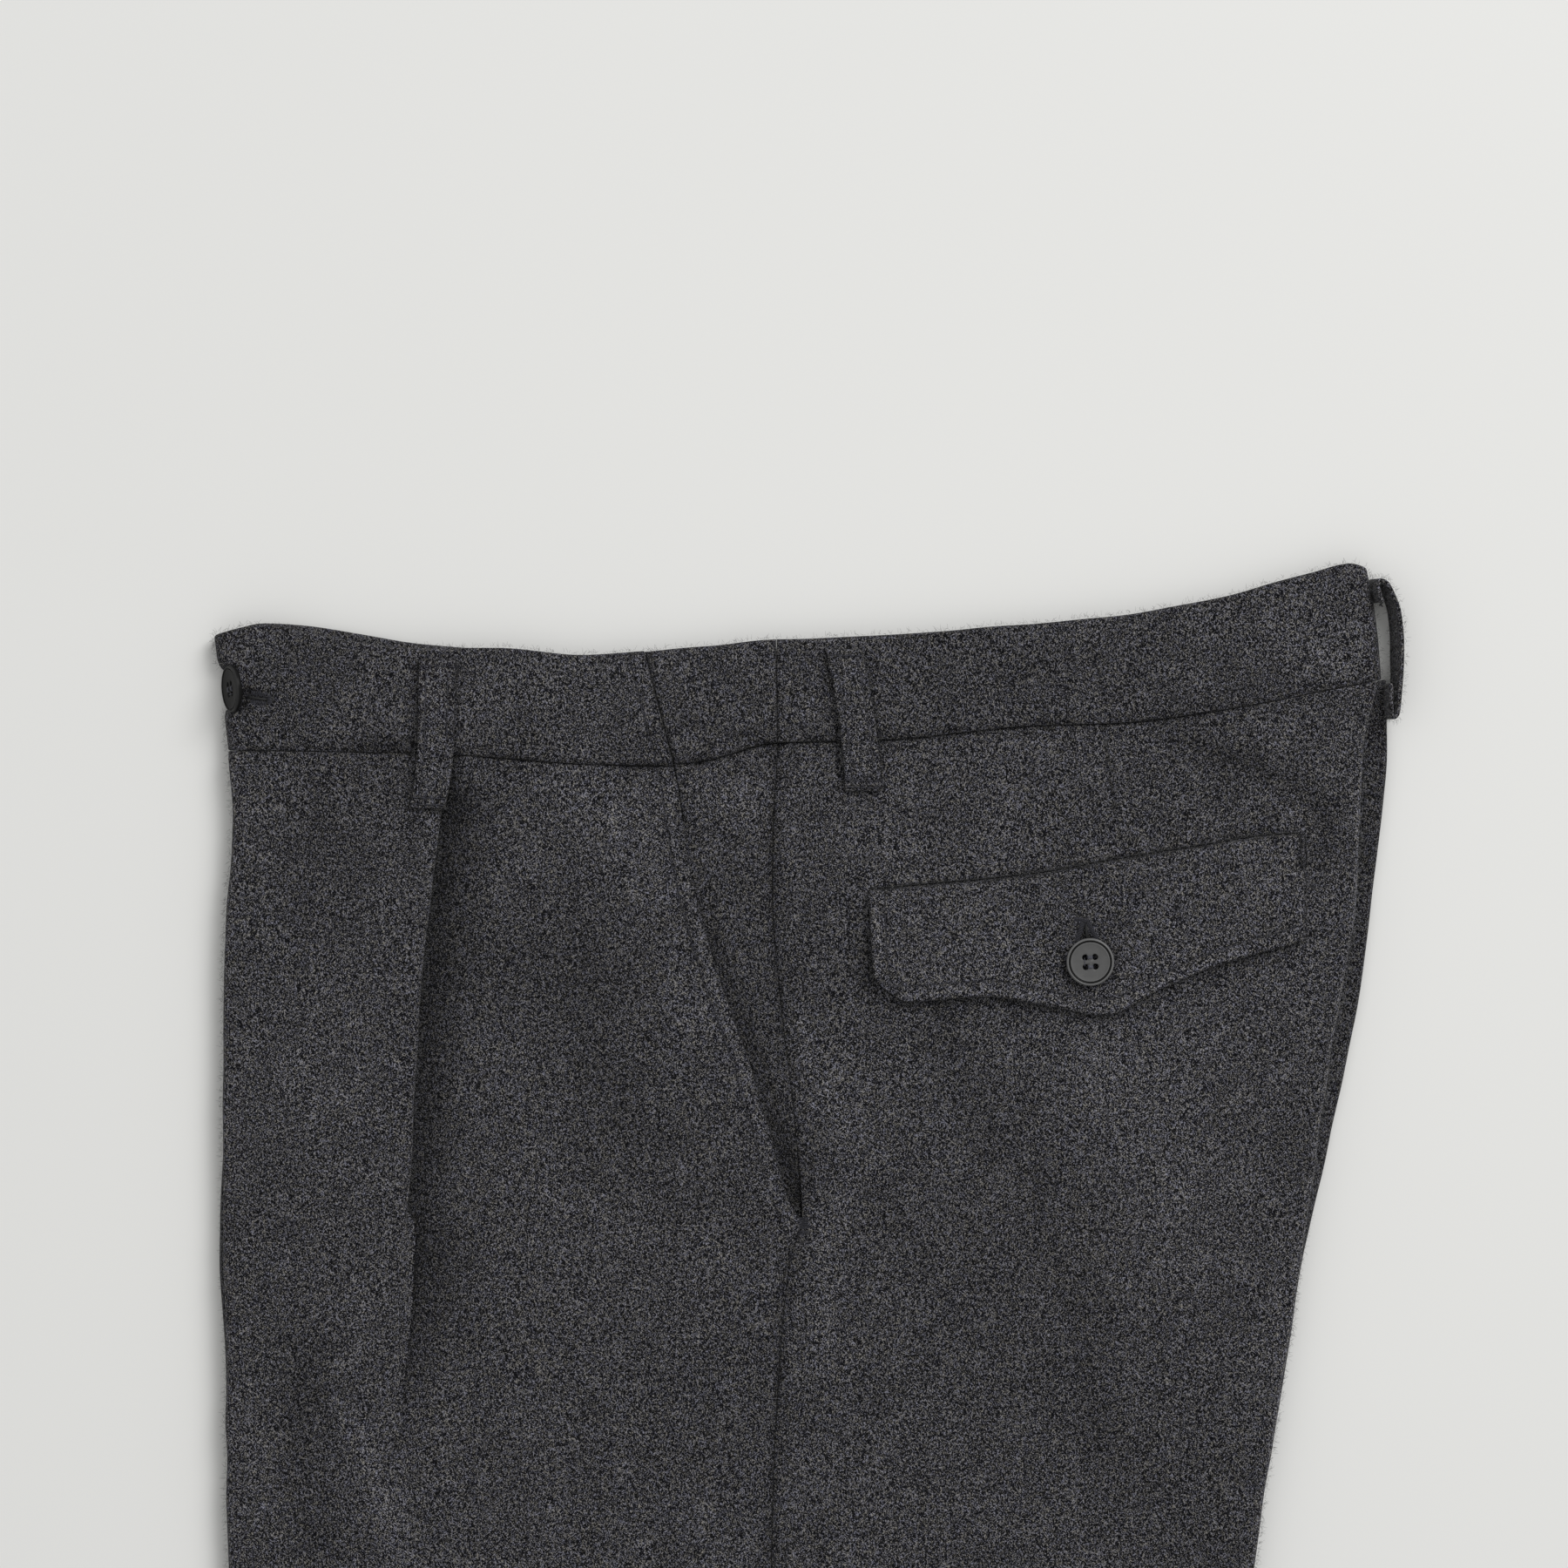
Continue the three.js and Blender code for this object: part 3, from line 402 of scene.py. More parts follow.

# Soft bumps across a line: amount (in height, or in painted shade, painted highlight below 0), distance
# from the line, and half width
MARKS = {
    "waist dip": (-0.35, 0, 1.2),
    "waist roll": (0.2, 2.6, 1.1),
    "waist line": (1, 0, 1.0),
    "waist shade": (0.12, 0, 3),
    "side dip": (-0.4, 0, 1.3),
    "side roll": (1, 5.5, 2.2),
    "side line": (1, 0, 1.5),
    "side shade": (0.16, 0, 4),
    "mouth roll": (0.75, 0, 2.2),
    "mouth shoulder": (0.35, 2.8, 1.8),
    "mouth line": (0.35, 0, 0.6),
    "mouth crest": (-0.26, 2.7, 1.5),
    "topstitch": (1, TOPSTITCH, 0.55),
    "pleat shade": (0.5, 3, 12),
    "front fold": (-0.3, 0, 0.9),
    "back fold": (-0.45, 0, 0.8),
    "dart": (1, 0, 0.7),
    "band ridge": (0.7, 0, 2),
    "band dip": (-0.4, 0, 1.3),
    "band line": (1, 0, 0.8),
    "band top": (0.12, 0, 1.5),
    "band front end": (0.35, 0, 0.8),
    "band side end": (0.4, 0, 1.2),
    "band end dip": (-0.3, 0, 1.3),
    "band end": (0.35, 0, 0.9),
    "loop left": (0.3, 0.6, 1.8),
    "loop right": (0.45, 0.3, 1.0),
    "loop foot": (0.45, 0.5, 1.0),
    "loop stitch": (1, LOOP_ENDS["side"], 0.5),
    "loop edge": (0.35, 0, 0.7),
    "loop bar": (1, 0, 0.6),
    "flap left": (0.24, 0, 8),
    "flap foot": (0.1, 0, 4),
    "flap seam": (0.6, 0.4, 1.0),
    "flap stitch": (1, FLAP_STITCH, 0.6),
    "flap top dip": (0.75, 0, 1.6),
    "flap top": (0.6, 0, 1.0),
    "flap edge": (0.4, 0, 0.5),
    "flap crest": (-0.25, 2.0, 1.0),
    "flap bar": (0.55, 1.2, 1.4),
    "flap button": (0.45, 8.3, 1.5),
    "flap hole": (0.42, 0, 2.3),
}
# Painted shade or height that dies away from an edge: amount and length
TRAILS = {
    "pucker": (1, 3.5),
    "pleat": (1, 1.8),
    "facing": (0.2, 1.5),
    "band foot": (0.3, 4.5),
    "flap left": (0.1, 1.5),
    "flap foot": (0.3, 1.6),
    "flap edge": (1, 5),
}
# Where something starts and where it is complete, on the x, y or distance that it is read at
RAMPS = {
    "waist seam side": (-110, -50),
    "waist seam rear": (10, 70),
    "mouth closed": (MOUTH_END + 3, MOUTH_END - 3),
    "mouth lifts": (MOUTH_END - 4, MOUTH_END + 8),
    "pleat folded": (0, 3),
    "pleat sinks": (0, 25),
    "pleat foot": (222, 252),
    "pleat wide": (235, 305),
    "pleat upper": (270, 330),
    "pleat top": (463, 445),
    "dart foot": (436, 450),
    "facing drops": (0, 10),
    "facing under": (20, 35),
    "facing deepens": (60, 90),
    "facing shows": (-3, 1),
    "facing dark": (428, 400),
    "facing ends": (4, 9),
    "flap side foot": (384, 392),
    "flap side top": (421, 419),
    "flap start": (21, 29),
    "flap end": (166, 154),
    "flap lean": (0, 30),
    "flap bar": (13, 11),
    "flap button": (8, 16),
}
CREASE_END = {"length": 0.25, "height": 0.35}  # shares of a crease's length and height


def waves(name, x, y=0.0):
    """The waves of a name, over x and y or along a line."""
    return sum(amount * value_noise(x, y + 0 * x, size, seed) for amount, size, seed in WAVES[name])


def mark(name, distance):
    amount, offset, width = MARKS[name]
    return amount * bell(distance - offset, width)


def trail(name, distance):
    amount, length = TRAILS[name]
    return amount * np.exp(-np.abs(distance) / length)


def along_ramp(name, value):
    return ramp(value, *RAMPS[name])


def relief(x, y):
    """How much higher or lower the upper cloth lies than its plain form."""
    height = waves("cloth", x, y)
    for points, width, rise in CREASES.values():
        distance, place = line_distance(x, y, points)
        fade = ramp(place, 0, CREASE_END["length"]) * ramp(place, 1, 1 - CREASE_END["length"])
        height = height + rise * bell(distance, width) * mix(CREASE_END["height"], 1, fade)
    return height


def beside_loops(x, y):
    """Shade along the belt loops' sides and feet."""
    shade = np.zeros(np.shape(x))
    reach = LOOP_WIDTH / 2
    for rows in (FRONT_LOOP, SIDE_LOOP):
        top, foot = rows["y"].max(), rows["y"].min()
        along = ramp(y, foot - 1, foot + 0.5) * ramp(y, top + 1, top - 0.5)
        offset = x - read(rows, "y", y, "x")
        shade += along * (mark("loop left", -offset - reach) + mark("loop right", offset - reach))
        shade += mark("loop foot", foot - y) * ramp(np.abs(offset), reach + 1, reach - 1)
    return shade


def beside_flap(x, y):
    """Shade of the panel round the flap's edges."""
    above = y - read(FLAP_EDGE, "x", x, "top")
    below = read(FLAP_EDGE, "x", x, "foot") - y
    left = read(FLAP_LEFT, "y", y, "x") - x
    beside = along_ramp("flap side foot", y) * along_ramp("flap side top", y) * (left > -1)
    within = along_ramp("flap start", x) * along_ramp("flap end", x)
    shade = beside * (trail("flap left", left) + mark("flap left", left))
    shade += within * (below > -1) * (trail("flap foot", below) + mark("flap foot", below))
    return shade + within * mark("flap seam", above)


def darkness(x, y):
    """How much darker the upper cloth is painted than its mean: random tone of the nap, listed patches of
    painted shade and painted highlight, and painted shadow beside the loops and the flap.
    """
    shade = waves("nap", x, y)
    for points, width, amount in PAINTED_LIGHT_AND_SHADE.values():
        distance, _ = line_distance(x, y, points)
        shade = shade + amount * bell(distance, width)
    return shade + beside_loops(x, y) + beside_flap(x, y)


# ---------------------------------------------------------------- shells
RIM_ANGLES = np.radians([0, 30, 60])
SHADE_LIMITS = (-0.5, 0.92)


def with_rims(grid, radii):
    """The grid with rings near its edges, and the share of the full thickness at each row and column."""
    shares = []
    for axis in (0, 1):
        lines = np.moveaxis(grid, axis, 0)
        parts, share = [lines[1:-1]], [1] * (len(lines) - 2)
        for edge, next_in, radius in ((0, 1, radii[2 * axis]), (-1, -2, radii[2 * axis + 1])):
            step = lines[next_in] - lines[edge]
            length = np.maximum(np.linalg.norm(step[..., :3], axis=-1, keepdims=True), 1e-6)
            rings = [lines[edge] + step / length * radius * (1 - math.cos(a)) for a in RIM_ANGLES]
            rings = np.array([*rings, lines[edge] + step / length * radius])
            ring_share = [*np.sin(RIM_ANGLES), 1]
            if edge == 0:
                parts, share = [rings] + parts, ring_share + share
            else:
                parts, share = parts + [rings[::-1]], share + ring_share[::-1]
        grid = np.moveaxis(np.concatenate(parts), 0, axis)
        shares.append(np.array(share))
    return grid, np.outer(shares[0], shares[1])


def shell(name, middles, thickness, radii, material, outward=1, adjust=None):
    """A closed wall round a grid of middle points, with rounded edges. The grid's fourth value is its
    painted shading: painted shade in seams, beside stitches and edges and in hollows, painted highlight
    where it is below 0, and some random tone of the nap."""
    grid, share = with_rims(middles, radii)
    if adjust is not None:
        grid = adjust(grid)
    grid, shade = grid[..., :3], grid[..., 3]
    rows, columns = share.shape
    normal = np.cross(np.gradient(grid, axis=0), np.gradient(grid, axis=1)) * outward
    normal /= np.maximum(np.linalg.norm(normal, axis=-1, keepdims=True), 1e-9)
    offset = normal * (share * thickness / 2)[..., None]
    outer, inner = grid + offset, grid - offset
    number = np.arange(rows * columns).reshape(rows, columns)
    within = np.zeros((rows, columns), bool)
    within[1:-1, 1:-1] = True
    inner_number = number.copy()
    inner_number[within] = rows * columns + np.arange(within.sum())
    points = np.concatenate([outer.reshape(-1, 3), inner[within]]) * MM

    def quads(n):
        return np.stack([n[:-1, :-1], n[1:, :-1], n[1:, 1:], n[:-1, 1:]], -1).reshape(-1, 4)

    upper, lower = quads(number), quads(inner_number)[:, ::-1]
    if outward < 0:
        upper, lower = upper[:, ::-1], lower[:, ::-1]
    made = mesh_object(name, points, np.concatenate([upper, lower]).tolist(), material)
    values = np.concatenate([shade.reshape(-1), shade[within]]).astype(np.float32)
    # The fourth value is kept as the pieces' painted shading: painted shade above 0, painted highlight
    # below 0
    attribute = made.data.attributes.new("painted_shading", "FLOAT", "POINT")
    attribute.data.foreach_set("value", np.clip(values, *SHADE_LIMITS))
    return made


def mesh_object(name, points, faces, material):
    mesh = bpy.data.meshes.new(name)
    mesh.from_pydata(points.tolist(), [], faces)
    mesh.validate()
    mesh.shade_smooth()
    mesh.materials.append(material)
    made = bpy.data.objects.new(name, mesh)
    bpy.context.scene.collection.objects.link(made)
    return made


def tubes(name, paths, radii, sides, material):
    """Many closed tubes in one mesh: paths has the points of each (N, P, 3), radii their thickness."""
    count, length = paths.shape[:2]
    along = np.gradient(paths, axis=1)
    across = np.stack([1e-4 - along[..., 1], along[..., 0], np.zeros(along.shape[:2])], -1)
    across /= np.linalg.norm(across, axis=-1, keepdims=True)
    above = np.cross(along, across)
    above /= np.maximum(np.linalg.norm(above, axis=-1, keepdims=True), 1e-9)
    angle = np.arange(sides) * 2 * math.pi / sides
    ring = across[:, :, None] * np.cos(angle)[:, None] + above[:, :, None] * np.sin(angle)[:, None]
    points = paths[:, :, None] + ring * np.asarray(radii)[..., None, None]
    number = np.arange(count * length * sides).reshape(count, length, sides)
    ahead = np.roll(number, -1, axis=2)
    walls = np.stack([number[:, :-1], ahead[:, :-1], ahead[:, 1:], number[:, 1:]], -1).reshape(-1, 4)
    faces = walls.tolist() + number[:, 0, ::-1].tolist() + number[:, -1].tolist()
    return mesh_object(name, points.reshape(-1, 3) * MM, faces, material)


def steps(start, stop, spacing):
    """Even steps from start to stop, close to the spacing, without the last."""
    count = max(2, int(round(abs(stop - start) / spacing)))
    return np.linspace(start, stop, count, endpoint=False)


# ---------------------------------------------------------------- leg panels
def row_y(waist, x, d):
    seam = read(waist, "x", x, "seam") - SEAM / 2
    level = mix(FRONT_Y, BACK_Y, (x - FRONT_X) / (BACK_X - FRONT_X))
    top = mix(seam, level, smooth(d / SETTLE))
    return mix(top, HEM_Y, d / PATTERN_LENGTH)


def side_x(d):
    return float(read(STATIONS, "y", row_y(REAR_WAIST, SIDE_X, d), "side"))


def mouth_x(y):
    return read(MOUTH, "y", y, "x") + waves("mouth", y)


def settled(start, step, passes=4):
    """A value that is read at the height that it has itself."""
    for _ in range(passes):
        start = step(start)
    return float(start)


def turn_points(centre_x, from_z, to_z, turn, count):
    angle = np.linspace(0, math.pi, count)
    radius = (to_z - from_z) / 2
    return centre_x + turn * abs(radius) * np.sin(angle), (from_z + to_z) / 2 - radius * np.cos(angle)


def levels(half, d):
    return [float(read(LEVELS, "d", d, half[name])) for name in ("edge", "middle", "inner")]


def stretches(*parts):
    """Joins stretches of a section, each a pair of x and z."""
    return [np.concatenate([np.broadcast_to(p[k], np.shape(p[0])) for p in parts]) for k in (0, 1)]


# Distances from an edge at which the sections have points, closest at the seam and at the topstitch
NEAR_FOLD = np.array([9, 7.4, 6, 4.8, 3.8, 2.9, 2.1, 1.4, 0.7, 0])
NEAR_EDGE = np.array([0, 0.7, 1.3, 1.9, 2.5, 3.1, 3.7, 4.3, 4.7, 5.1, 5.5, 5.9, 6.3, 6.9, 7.7, 8.7])
NEAR_BAND = np.array([0, 1.5, 2.2, 3.0, 3.6, 4.2, 4.7, 5.1, 5.5, 5.9, 6.3, 6.9, 7.7, 8.7])
NEAR_DART = np.array([-4, -3, -2.2, -1.6, -1.1, -0.7, -0.35, 0, 0.35, 0.7, 1.1, 1.6, 2.2, 3, 4])
NEAR_WAIST = np.array([0, 0.7, 1.3, 2, 2.8, 3.8, 5])
FAR = 99  # a distance that no seam or stitch reaches
# How many points the stretches of a section have on the upper half
POINTS = {
    "front": 66, "under fold": 6, "past fold": 44, "front turned": 16, "before dart": 62, "after dart": 54,
    "back turned": 20, "facing": 34, "side band": 30, "back band": 150,
}
FOLD_POINTS = 11
PLEAT_TURNS = (6, 8)  # points round its lower and its upper turn
PLEAT_EASE = 3  # how far the step spreads where the pleat is no longer folded
PLEAT_ROOM = 10.6  # from the pleat's edge to where its closer points start
LEAST_TURNED = 1.5
VISIBLE_DEPTH = 290  # the rows are closer down to here
# The rows' pitch and first step on the upper half, and how many rows lie further down
ROWS = {"pitch": 1.8, "first": 1.6, "far": 44, "extra": 8}
UNDER_SHADE = 0.28  # the lower half lies in the upper one's shade
# Painted shade in the waist seam's groove: how dark its line is at the front and at the side, and the
# share of it lost at the back
WAIST_LINE_SHADE = {"leg": (0.16, 0.42), "band": (0.12, 0.3), "lost": 0.6}
SIDE_LINE_SHADE = 0.26  # the same of the side seam
ROLL_HEIGHT = 0.3  # of the roll behind the side seam


def count_of(stretch, half, extra=0):
    return max(3, int(POINTS[stretch] * half["fine"])) + extra


def inside(start, stop, count):
    """Even places between two, without them."""
    return np.linspace(start, stop, count)[1:-1]


def outer_share(flat, turn, turned=0):
    """1 on the outer face, falling to 0 round a turn."""
    return np.concatenate([np.ones(flat), np.linspace(1, 0, turn), np.zeros(turned)])


def fold_place(half, fold, d):
    """Where the front or the back fold lies, and where the cloth that turned back there ends."""
    start = FRONT_X if fold == "front" else BACK_X
    waist = FRONT_WAIST if fold == "front" else REAR_WAIST
    fold_x = read(STATIONS, "y", row_y(waist, start, d), half[fold])
    fold_x += half["wave"] * waves(f"{fold} fold", d)
    inner_x = settled(start, lambda x: read(STATIONS, "y", row_y(REAR_WAIST, x, d), f"{fold}_inner"))
    return float(fold_x), inner_x


def front_section(half, d):
    """Pocket mouth or side seam, over the pleat, round the front fold and back between the halves."""
    fold_x, inner_x = fold_place(half, "front", d)
    edge, middle, inner = levels(half, d)
    pleat_x, depth, step = [float(read(half["pleat"], "d", d, name)) for name in ("x", "depth", "step")]
    pleat_x += float(waves("pleat", d))
    pitch = half["up"] * PLEAT_PITCH
    low = edge - 2 * pitch - half["sink"] * float(along_ramp("pleat sinks", d))
    release = mix(PLEAT_RELEASE["waist"], PLEAT_RELEASE["leg"], float(ramp(d, 0, PLEAT_RELEASE["over"])))
    waist = FRONT_WAIST if d < SETTLE else REAR_WAIST

    def plain(x):
        return mix(edge, middle, smooth((x - fold_x - EDGE_FLAT) / EDGE_SLOPE))

    def before(x):
        return mix(plain(x), edge, step)

    def after(x):
        return mix(plain(x), mix(low, middle, smooth((x - pleat_x) / release)), step)

    side_edge = side_x(d) - SEAM / 2
    open_x = min(settled(side_edge, lambda x: mouth_x(row_y(waist, x, d))), side_edge)
    fold_edge = pleat_x - CLOTH / 2
    lower = turn_points(fold_edge - depth, low, low + pitch, -1, PLEAT_TURNS[0])
    upper = turn_points(fold_edge - abs(edge - low - pitch) / 2, low + pitch, edge, 1, PLEAT_TURNS[1])
    t = np.linspace(1, 0, sum(PLEAT_TURNS))
    stepped = [
        pleat_x + mix(-PLEAT_EASE, PLEAT_EASE, t),
        mix(before(pleat_x - PLEAT_EASE), after(pleat_x + PLEAT_EASE), smooth(t)),
    ]
    folded = float(along_ramp("pleat folded", depth))
    fold = [mix(s, f, folded) for s, f in zip(stepped, stretches(lower, upper))]

    near = open_x - NEAR_EDGE
    start = fold[0][0]
    base = max(fold_edge, start + 2)
    far = np.linspace(near[-1], base + PLEAT_ROOM, count_of("front", half, 1))[1:]
    under = inside(base, start, count_of("under fold", half, 1))
    rest = np.concatenate([near, far, base + NEAR_FOLD, under])
    centre = fold_x + CLOTH / 2 + abs(edge - inner) / 2
    flat = inside(fold[0][-1], centre, count_of("past fold", half, 2))
    turned = np.linspace(centre, max(inner_x, centre + LEAST_TURNED), count_of("front turned", half, 1))[1:]
    turn = turn_points(centre, edge, inner, -1, FOLD_POINTS)
    x, z = stretches((rest, after(rest)), fold, (flat, before(flat)), turn, (turned, inner))
    outer = outer_share(len(rest) + len(t) + len(flat), FOLD_POINTS, len(turned))
    beyond = np.full(len(x) - len(rest), FAR)
    mouth = np.concatenate([np.abs(rest - open_x), beyond])
    past_fold = np.concatenate([rest - mix(start, pleat_x, folded), beyond])
    return x, row_y(waist, x, d), z, outer, mouth, past_fold


def back_height(half, x, d):
    fold_x = read(STATIONS, "y", row_y(REAR_WAIST, BACK_X, d), half["back"])
    edge, middle = [read(LEVELS, "d", d, half[name]) for name in ("edge", "middle")]
    return mix(edge, middle, smooth((fold_x - x - EDGE_FLAT) / EDGE_SLOPE))


def back_section(half, d):
    """Side seam to the back fold, round it and back between the halves."""
    fold_x, inner_x = fold_place(half, "back", d)
    edge, _, inner = levels(half, d)
    centre = fold_x - CLOTH / 2 - abs(edge - inner) / 2
    near = side_x(d) + SEAM / 2 + NEAR_EDGE
    dart = settled(DART["x"].mean(), lambda x: read(DART, "y", row_y(REAR_WAIST, x, d), "x"))
    dart = min(dart, centre - DART_ROOM) + NEAR_DART
    first = inside(near[-1], dart[0], count_of("before dart", half, 2))
    second = inside(dart[-1], centre, count_of("after dart", half, 2))
    turned = np.linspace(centre, min(inner_x, centre - LEAST_TURNED), count_of("back turned", half, 1))[1:]
    rest = np.concatenate([near, first, dart, second])
    turn = turn_points(centre, edge, inner, 1, FOLD_POINTS)
    x, z = stretches((rest, back_height(half, rest, d)), turn, (turned, inner))
    start = len(near) + len(first)
    dart_line = np.full(len(x), FAR)
    dart_line[start : start + len(NEAR_DART)] = np.abs(NEAR_DART)
    return x, row_y(REAR_WAIST, x, d), z, outer_share(len(rest), FOLD_POINTS, len(turned)), dart_line


def panel_rows(half):
    first = NEAR_WAIST[-1] + ROWS["first"] / half["fine"]
    visible = steps(first, VISIBLE_DEPTH, ROWS["pitch"] / half["fine"])
    far = int(ROWS["far"] * half["fine"]) + ROWS["extra"]
    return np.concatenate([NEAR_WAIST, visible, np.linspace(VISIBLE_DEPTH, PATTERN_LENGTH, far)])


def seam_pucker(name, distance, along):
    """Small waves beside a seam, which die away from it."""
    return waves(name, along) * trail("pucker", distance)


def waist_line_shade(x, piece_name):
    """Painted shade in the waist seam's line: strongest from the pocket to the side seam."""
    front, side = WAIST_LINE_SHADE[piece_name]
    return mix(front, side, along_ramp("waist seam side", x)) * (
        1 - WAIST_LINE_SHADE["lost"] * along_ramp("waist seam rear", x)
    )


def waist_seam(waist, x, y):
    """Relief and shade of the leg below the waist seam."""
    below = np.abs(read(waist, "x", x, "seam") - y)
    height = seam_pucker("waist pucker", below, x) + mark("waist dip", below) + mark("waist roll", below)
    return height, waist_line_shade(x, "leg") * mark("waist line", below) + mark("waist shade", below)


def side_seam(distance, y):
    """Relief and shade of the panels beside the side seam, which opens over a soft roll."""
    height = seam_pucker("side pucker", distance, y) + mark("side dip", distance)
    # Painted shade in the side seam's groove
    tone = SIDE_LINE_SHADE + waves("side line", y)
    return height, tone * mark("side line", distance) + mark("side shade", distance)


PLEAT_SHADE = {"upper": 0.25, "foot": 0.5}
STITCH = {"groove": 0.55, "shade": 0.42, "least": 0.8}
DART_LINE = {"groove": 0.6, "shade": 0.3}


def front_panel(half):
    sections = [front_section(half, d) for d in panel_rows(half)]
    x, y, z, outer, mouth, past_fold = [np.array([s[k] for s in sections]) for k in range(6)]
    shade = np.full(x.shape, UNDER_SHADE)
    if half is LEFT:
        closed = along_ramp("mouth closed", y)
        waist_height, waist_shade = waist_seam(FRONT_WAIST, x, y)
        side_height, side_shade = side_seam(mouth, y)
        lift = mark("mouth roll", mouth) + mark("mouth shoulder", mouth)
        lift += seam_pucker("mouth pucker", mouth, y)
        stitched = mark("topstitch", mouth) * (STITCH["least"] + waves("topstitch", y))
        z = z + outer * (relief(x, y) + waist_height + closed * side_height)
        z += (1 - closed) * (lift * along_ramp("mouth lifts", y) - STITCH["groove"] * stitched)
        shade = outer * (waist_shade + darkness(x, y)) + closed * side_shade
        # Painted shade along the mouth's edge and beside the topstitch, with a painted highlight on the
        # edge's crest
        edge_shade = mark("mouth line", mouth) + mark("mouth crest", mouth)
        shade += (1 - closed) * (STITCH["shade"] * stitched + edge_shade)
        # Painted shadow on the pleat's low side, beside its fold
        past = np.maximum(past_fold, 0)
        wide = along_ramp("pleat wide", y) * mark("pleat shade", past)
        narrow = mix(PLEAT_SHADE["foot"], PLEAT_SHADE["upper"], along_ramp("pleat upper", y))
        shown = along_ramp("pleat foot", y) * along_ramp("pleat top", y)
        shade += shown * (narrow * trail("pleat", past) + wide)
        # Painted highlight along the front fold's edge
        shade += mark("front fold", x - x.min(axis=1, keepdims=True))
    return np.stack([x, y, z, shade], -1)


def back_panel(half):
    sections = [back_section(half, d) for d in panel_rows(half)]
    x, y, z, outer, dart = [np.array([s[k] for s in sections]) for k in range(5)]
    shade = np.full(x.shape, UNDER_SHADE)
    if half is LEFT:
        waist_height, waist_shade = waist_seam(REAR_WAIST, x, y)
        side = np.abs(x - read(STATIONS, "y", y, "side"))
        side_height, side_shade = side_seam(side, y)
        roll = (ROLL_HEIGHT + waves("side roll", y)) * mark("side roll", side)
        darted = mark("dart", dart) * along_ramp("dart foot", y)
        z = z + outer * (relief(x, y) + waist_height + side_height + roll) - DART_LINE["groove"] * darted
        shade = outer * (waist_shade + side_shade + darkness(x, y)) + DART_LINE["shade"] * darted
        # Painted highlight along the back fold's edge
        shade += mark("back fold", x - x.max(axis=1, keepdims=True))
    return np.stack([x, y, z, shade], -1)


# ---------------------------------------------------------------- pocket facing
FACING_DEPTH = 180
FACING_PITCH = 2
FACING_START = np.array([0, 0.7, 1.3, 2, 3, 4, 5])
FACING_EVEN = 6.5  # from where its rows are evenly spaced
FACING = {"deeper": 0.6, "least rise": 8, "shade": 0.4}
HALVINGS = 24


def front_depth(x, y):
    """The depth on the front's pattern of a place on it."""
    low, high = 0.0, PATTERN_LENGTH
    for _ in range(HALVINGS):
        middle = (low + high) / 2
        if row_y(FRONT_WAIST, x, middle) > y:
            low = middle
        else:
            high = middle
    return low


def facing(half):
    rows = []
    down = steps(FACING_EVEN, FACING_DEPTH, FACING_PITCH / half["fine"])
    for d in np.concatenate([FACING_START, down, [FACING_DEPTH]]):
        right = side_x(d) - SEAM / 2
        mouth = float(mouth_x(row_y(REAR_WAIST, mouth_x(row_y(REAR_WAIST, right, d)), d)))
        left = mouth + SEAM - (FACING_REACH + SEAM) * float(along_ramp("facing under", d))
        deep = half["pitch"] * (1 + FACING["deeper"] * float(along_ramp("facing deepens", d)))
        drop = half["up"] * deep * float(along_ramp("facing drops", d))
        x = np.linspace(left, right, count_of("facing", half, 4))
        y = row_y(REAR_WAIST, x, d)
        own = levels(half, d)[1]
        front = np.array([levels(half, front_depth(*place))[1] for place in zip(x, y)])
        share = smooth((x - mouth) / max(FACING["least rise"], right - mouth))
        z = mix(front, own, share) - drop * (1 - share)
        shade = np.zeros(len(x))
        if half is LEFT:
            waist_height, waist_shade = waist_seam(REAR_WAIST, x, y)
            side_height, side_shade = side_seam(right - x, y)
            z += relief(x, y) * along_ramp("facing shows", x - mouth) + waist_height + side_height
            past = np.maximum(x - mouth, 0)
            wide = FACING["shade"] * (1 - along_ramp("facing ends", past))
            shade = waist_shade + side_shade + darkness(x, y)
            # Painted shadow in the pocket mouth, under the front's edge
            shade += mix(trail("facing", past), wide, along_ramp("facing dark", y))
        rows.append(np.stack([x, y, z, shade], -1))
    return np.array(rows)


# ---------------------------------------------------------------- waistband
BAND_HEIGHT = 38
BAND_RIDGE = [(89.4, 504), (91, 497), (94.3, 484)]
BAND_TURN_POINTS = 17
BAND_STITCH = 0.35
BAND_EDGE = np.array([0, 1.5, 2.2, 3.0])
PIECE_EDGE = np.array([0, 1.4, 2.1, 2.9])
EDGE_ROOM = {"rows": 4.0, "columns": 3.8}
BACK_TURN = {"degrees": 75, "points": 9, "last": np.array([0.3, 0.05]), "last step": 0.1}


def band_end(v, end):
    return float(read(BAND_ENDS, "v", v, end))


def band_y(waist, half, x, v):
    top = read(waist, "x", x, half["top"]) + half["wave"] * waves("band top", x)
    return mix(top, read(waist, "x", x, "seam") + SEAM / 2, v)


def band_side(v):
    return float(read(STATIONS, "y", mix(MOUTH_TOP, SIDE_SEAM_Y, v), "side"))


def band_mouth(seam_y, v):
    return float(mouth_x(mix(MOUTH_TOP, seam_y, v)))


def band_rows(half):
    near, room = BAND_EDGE / BAND_HEIGHT, EDGE_ROOM["rows"] / BAND_HEIGHT
    return np.concatenate([near, np.linspace(room, 1 - room, int(28 * half["fine"])), 1 - near[::-1]])


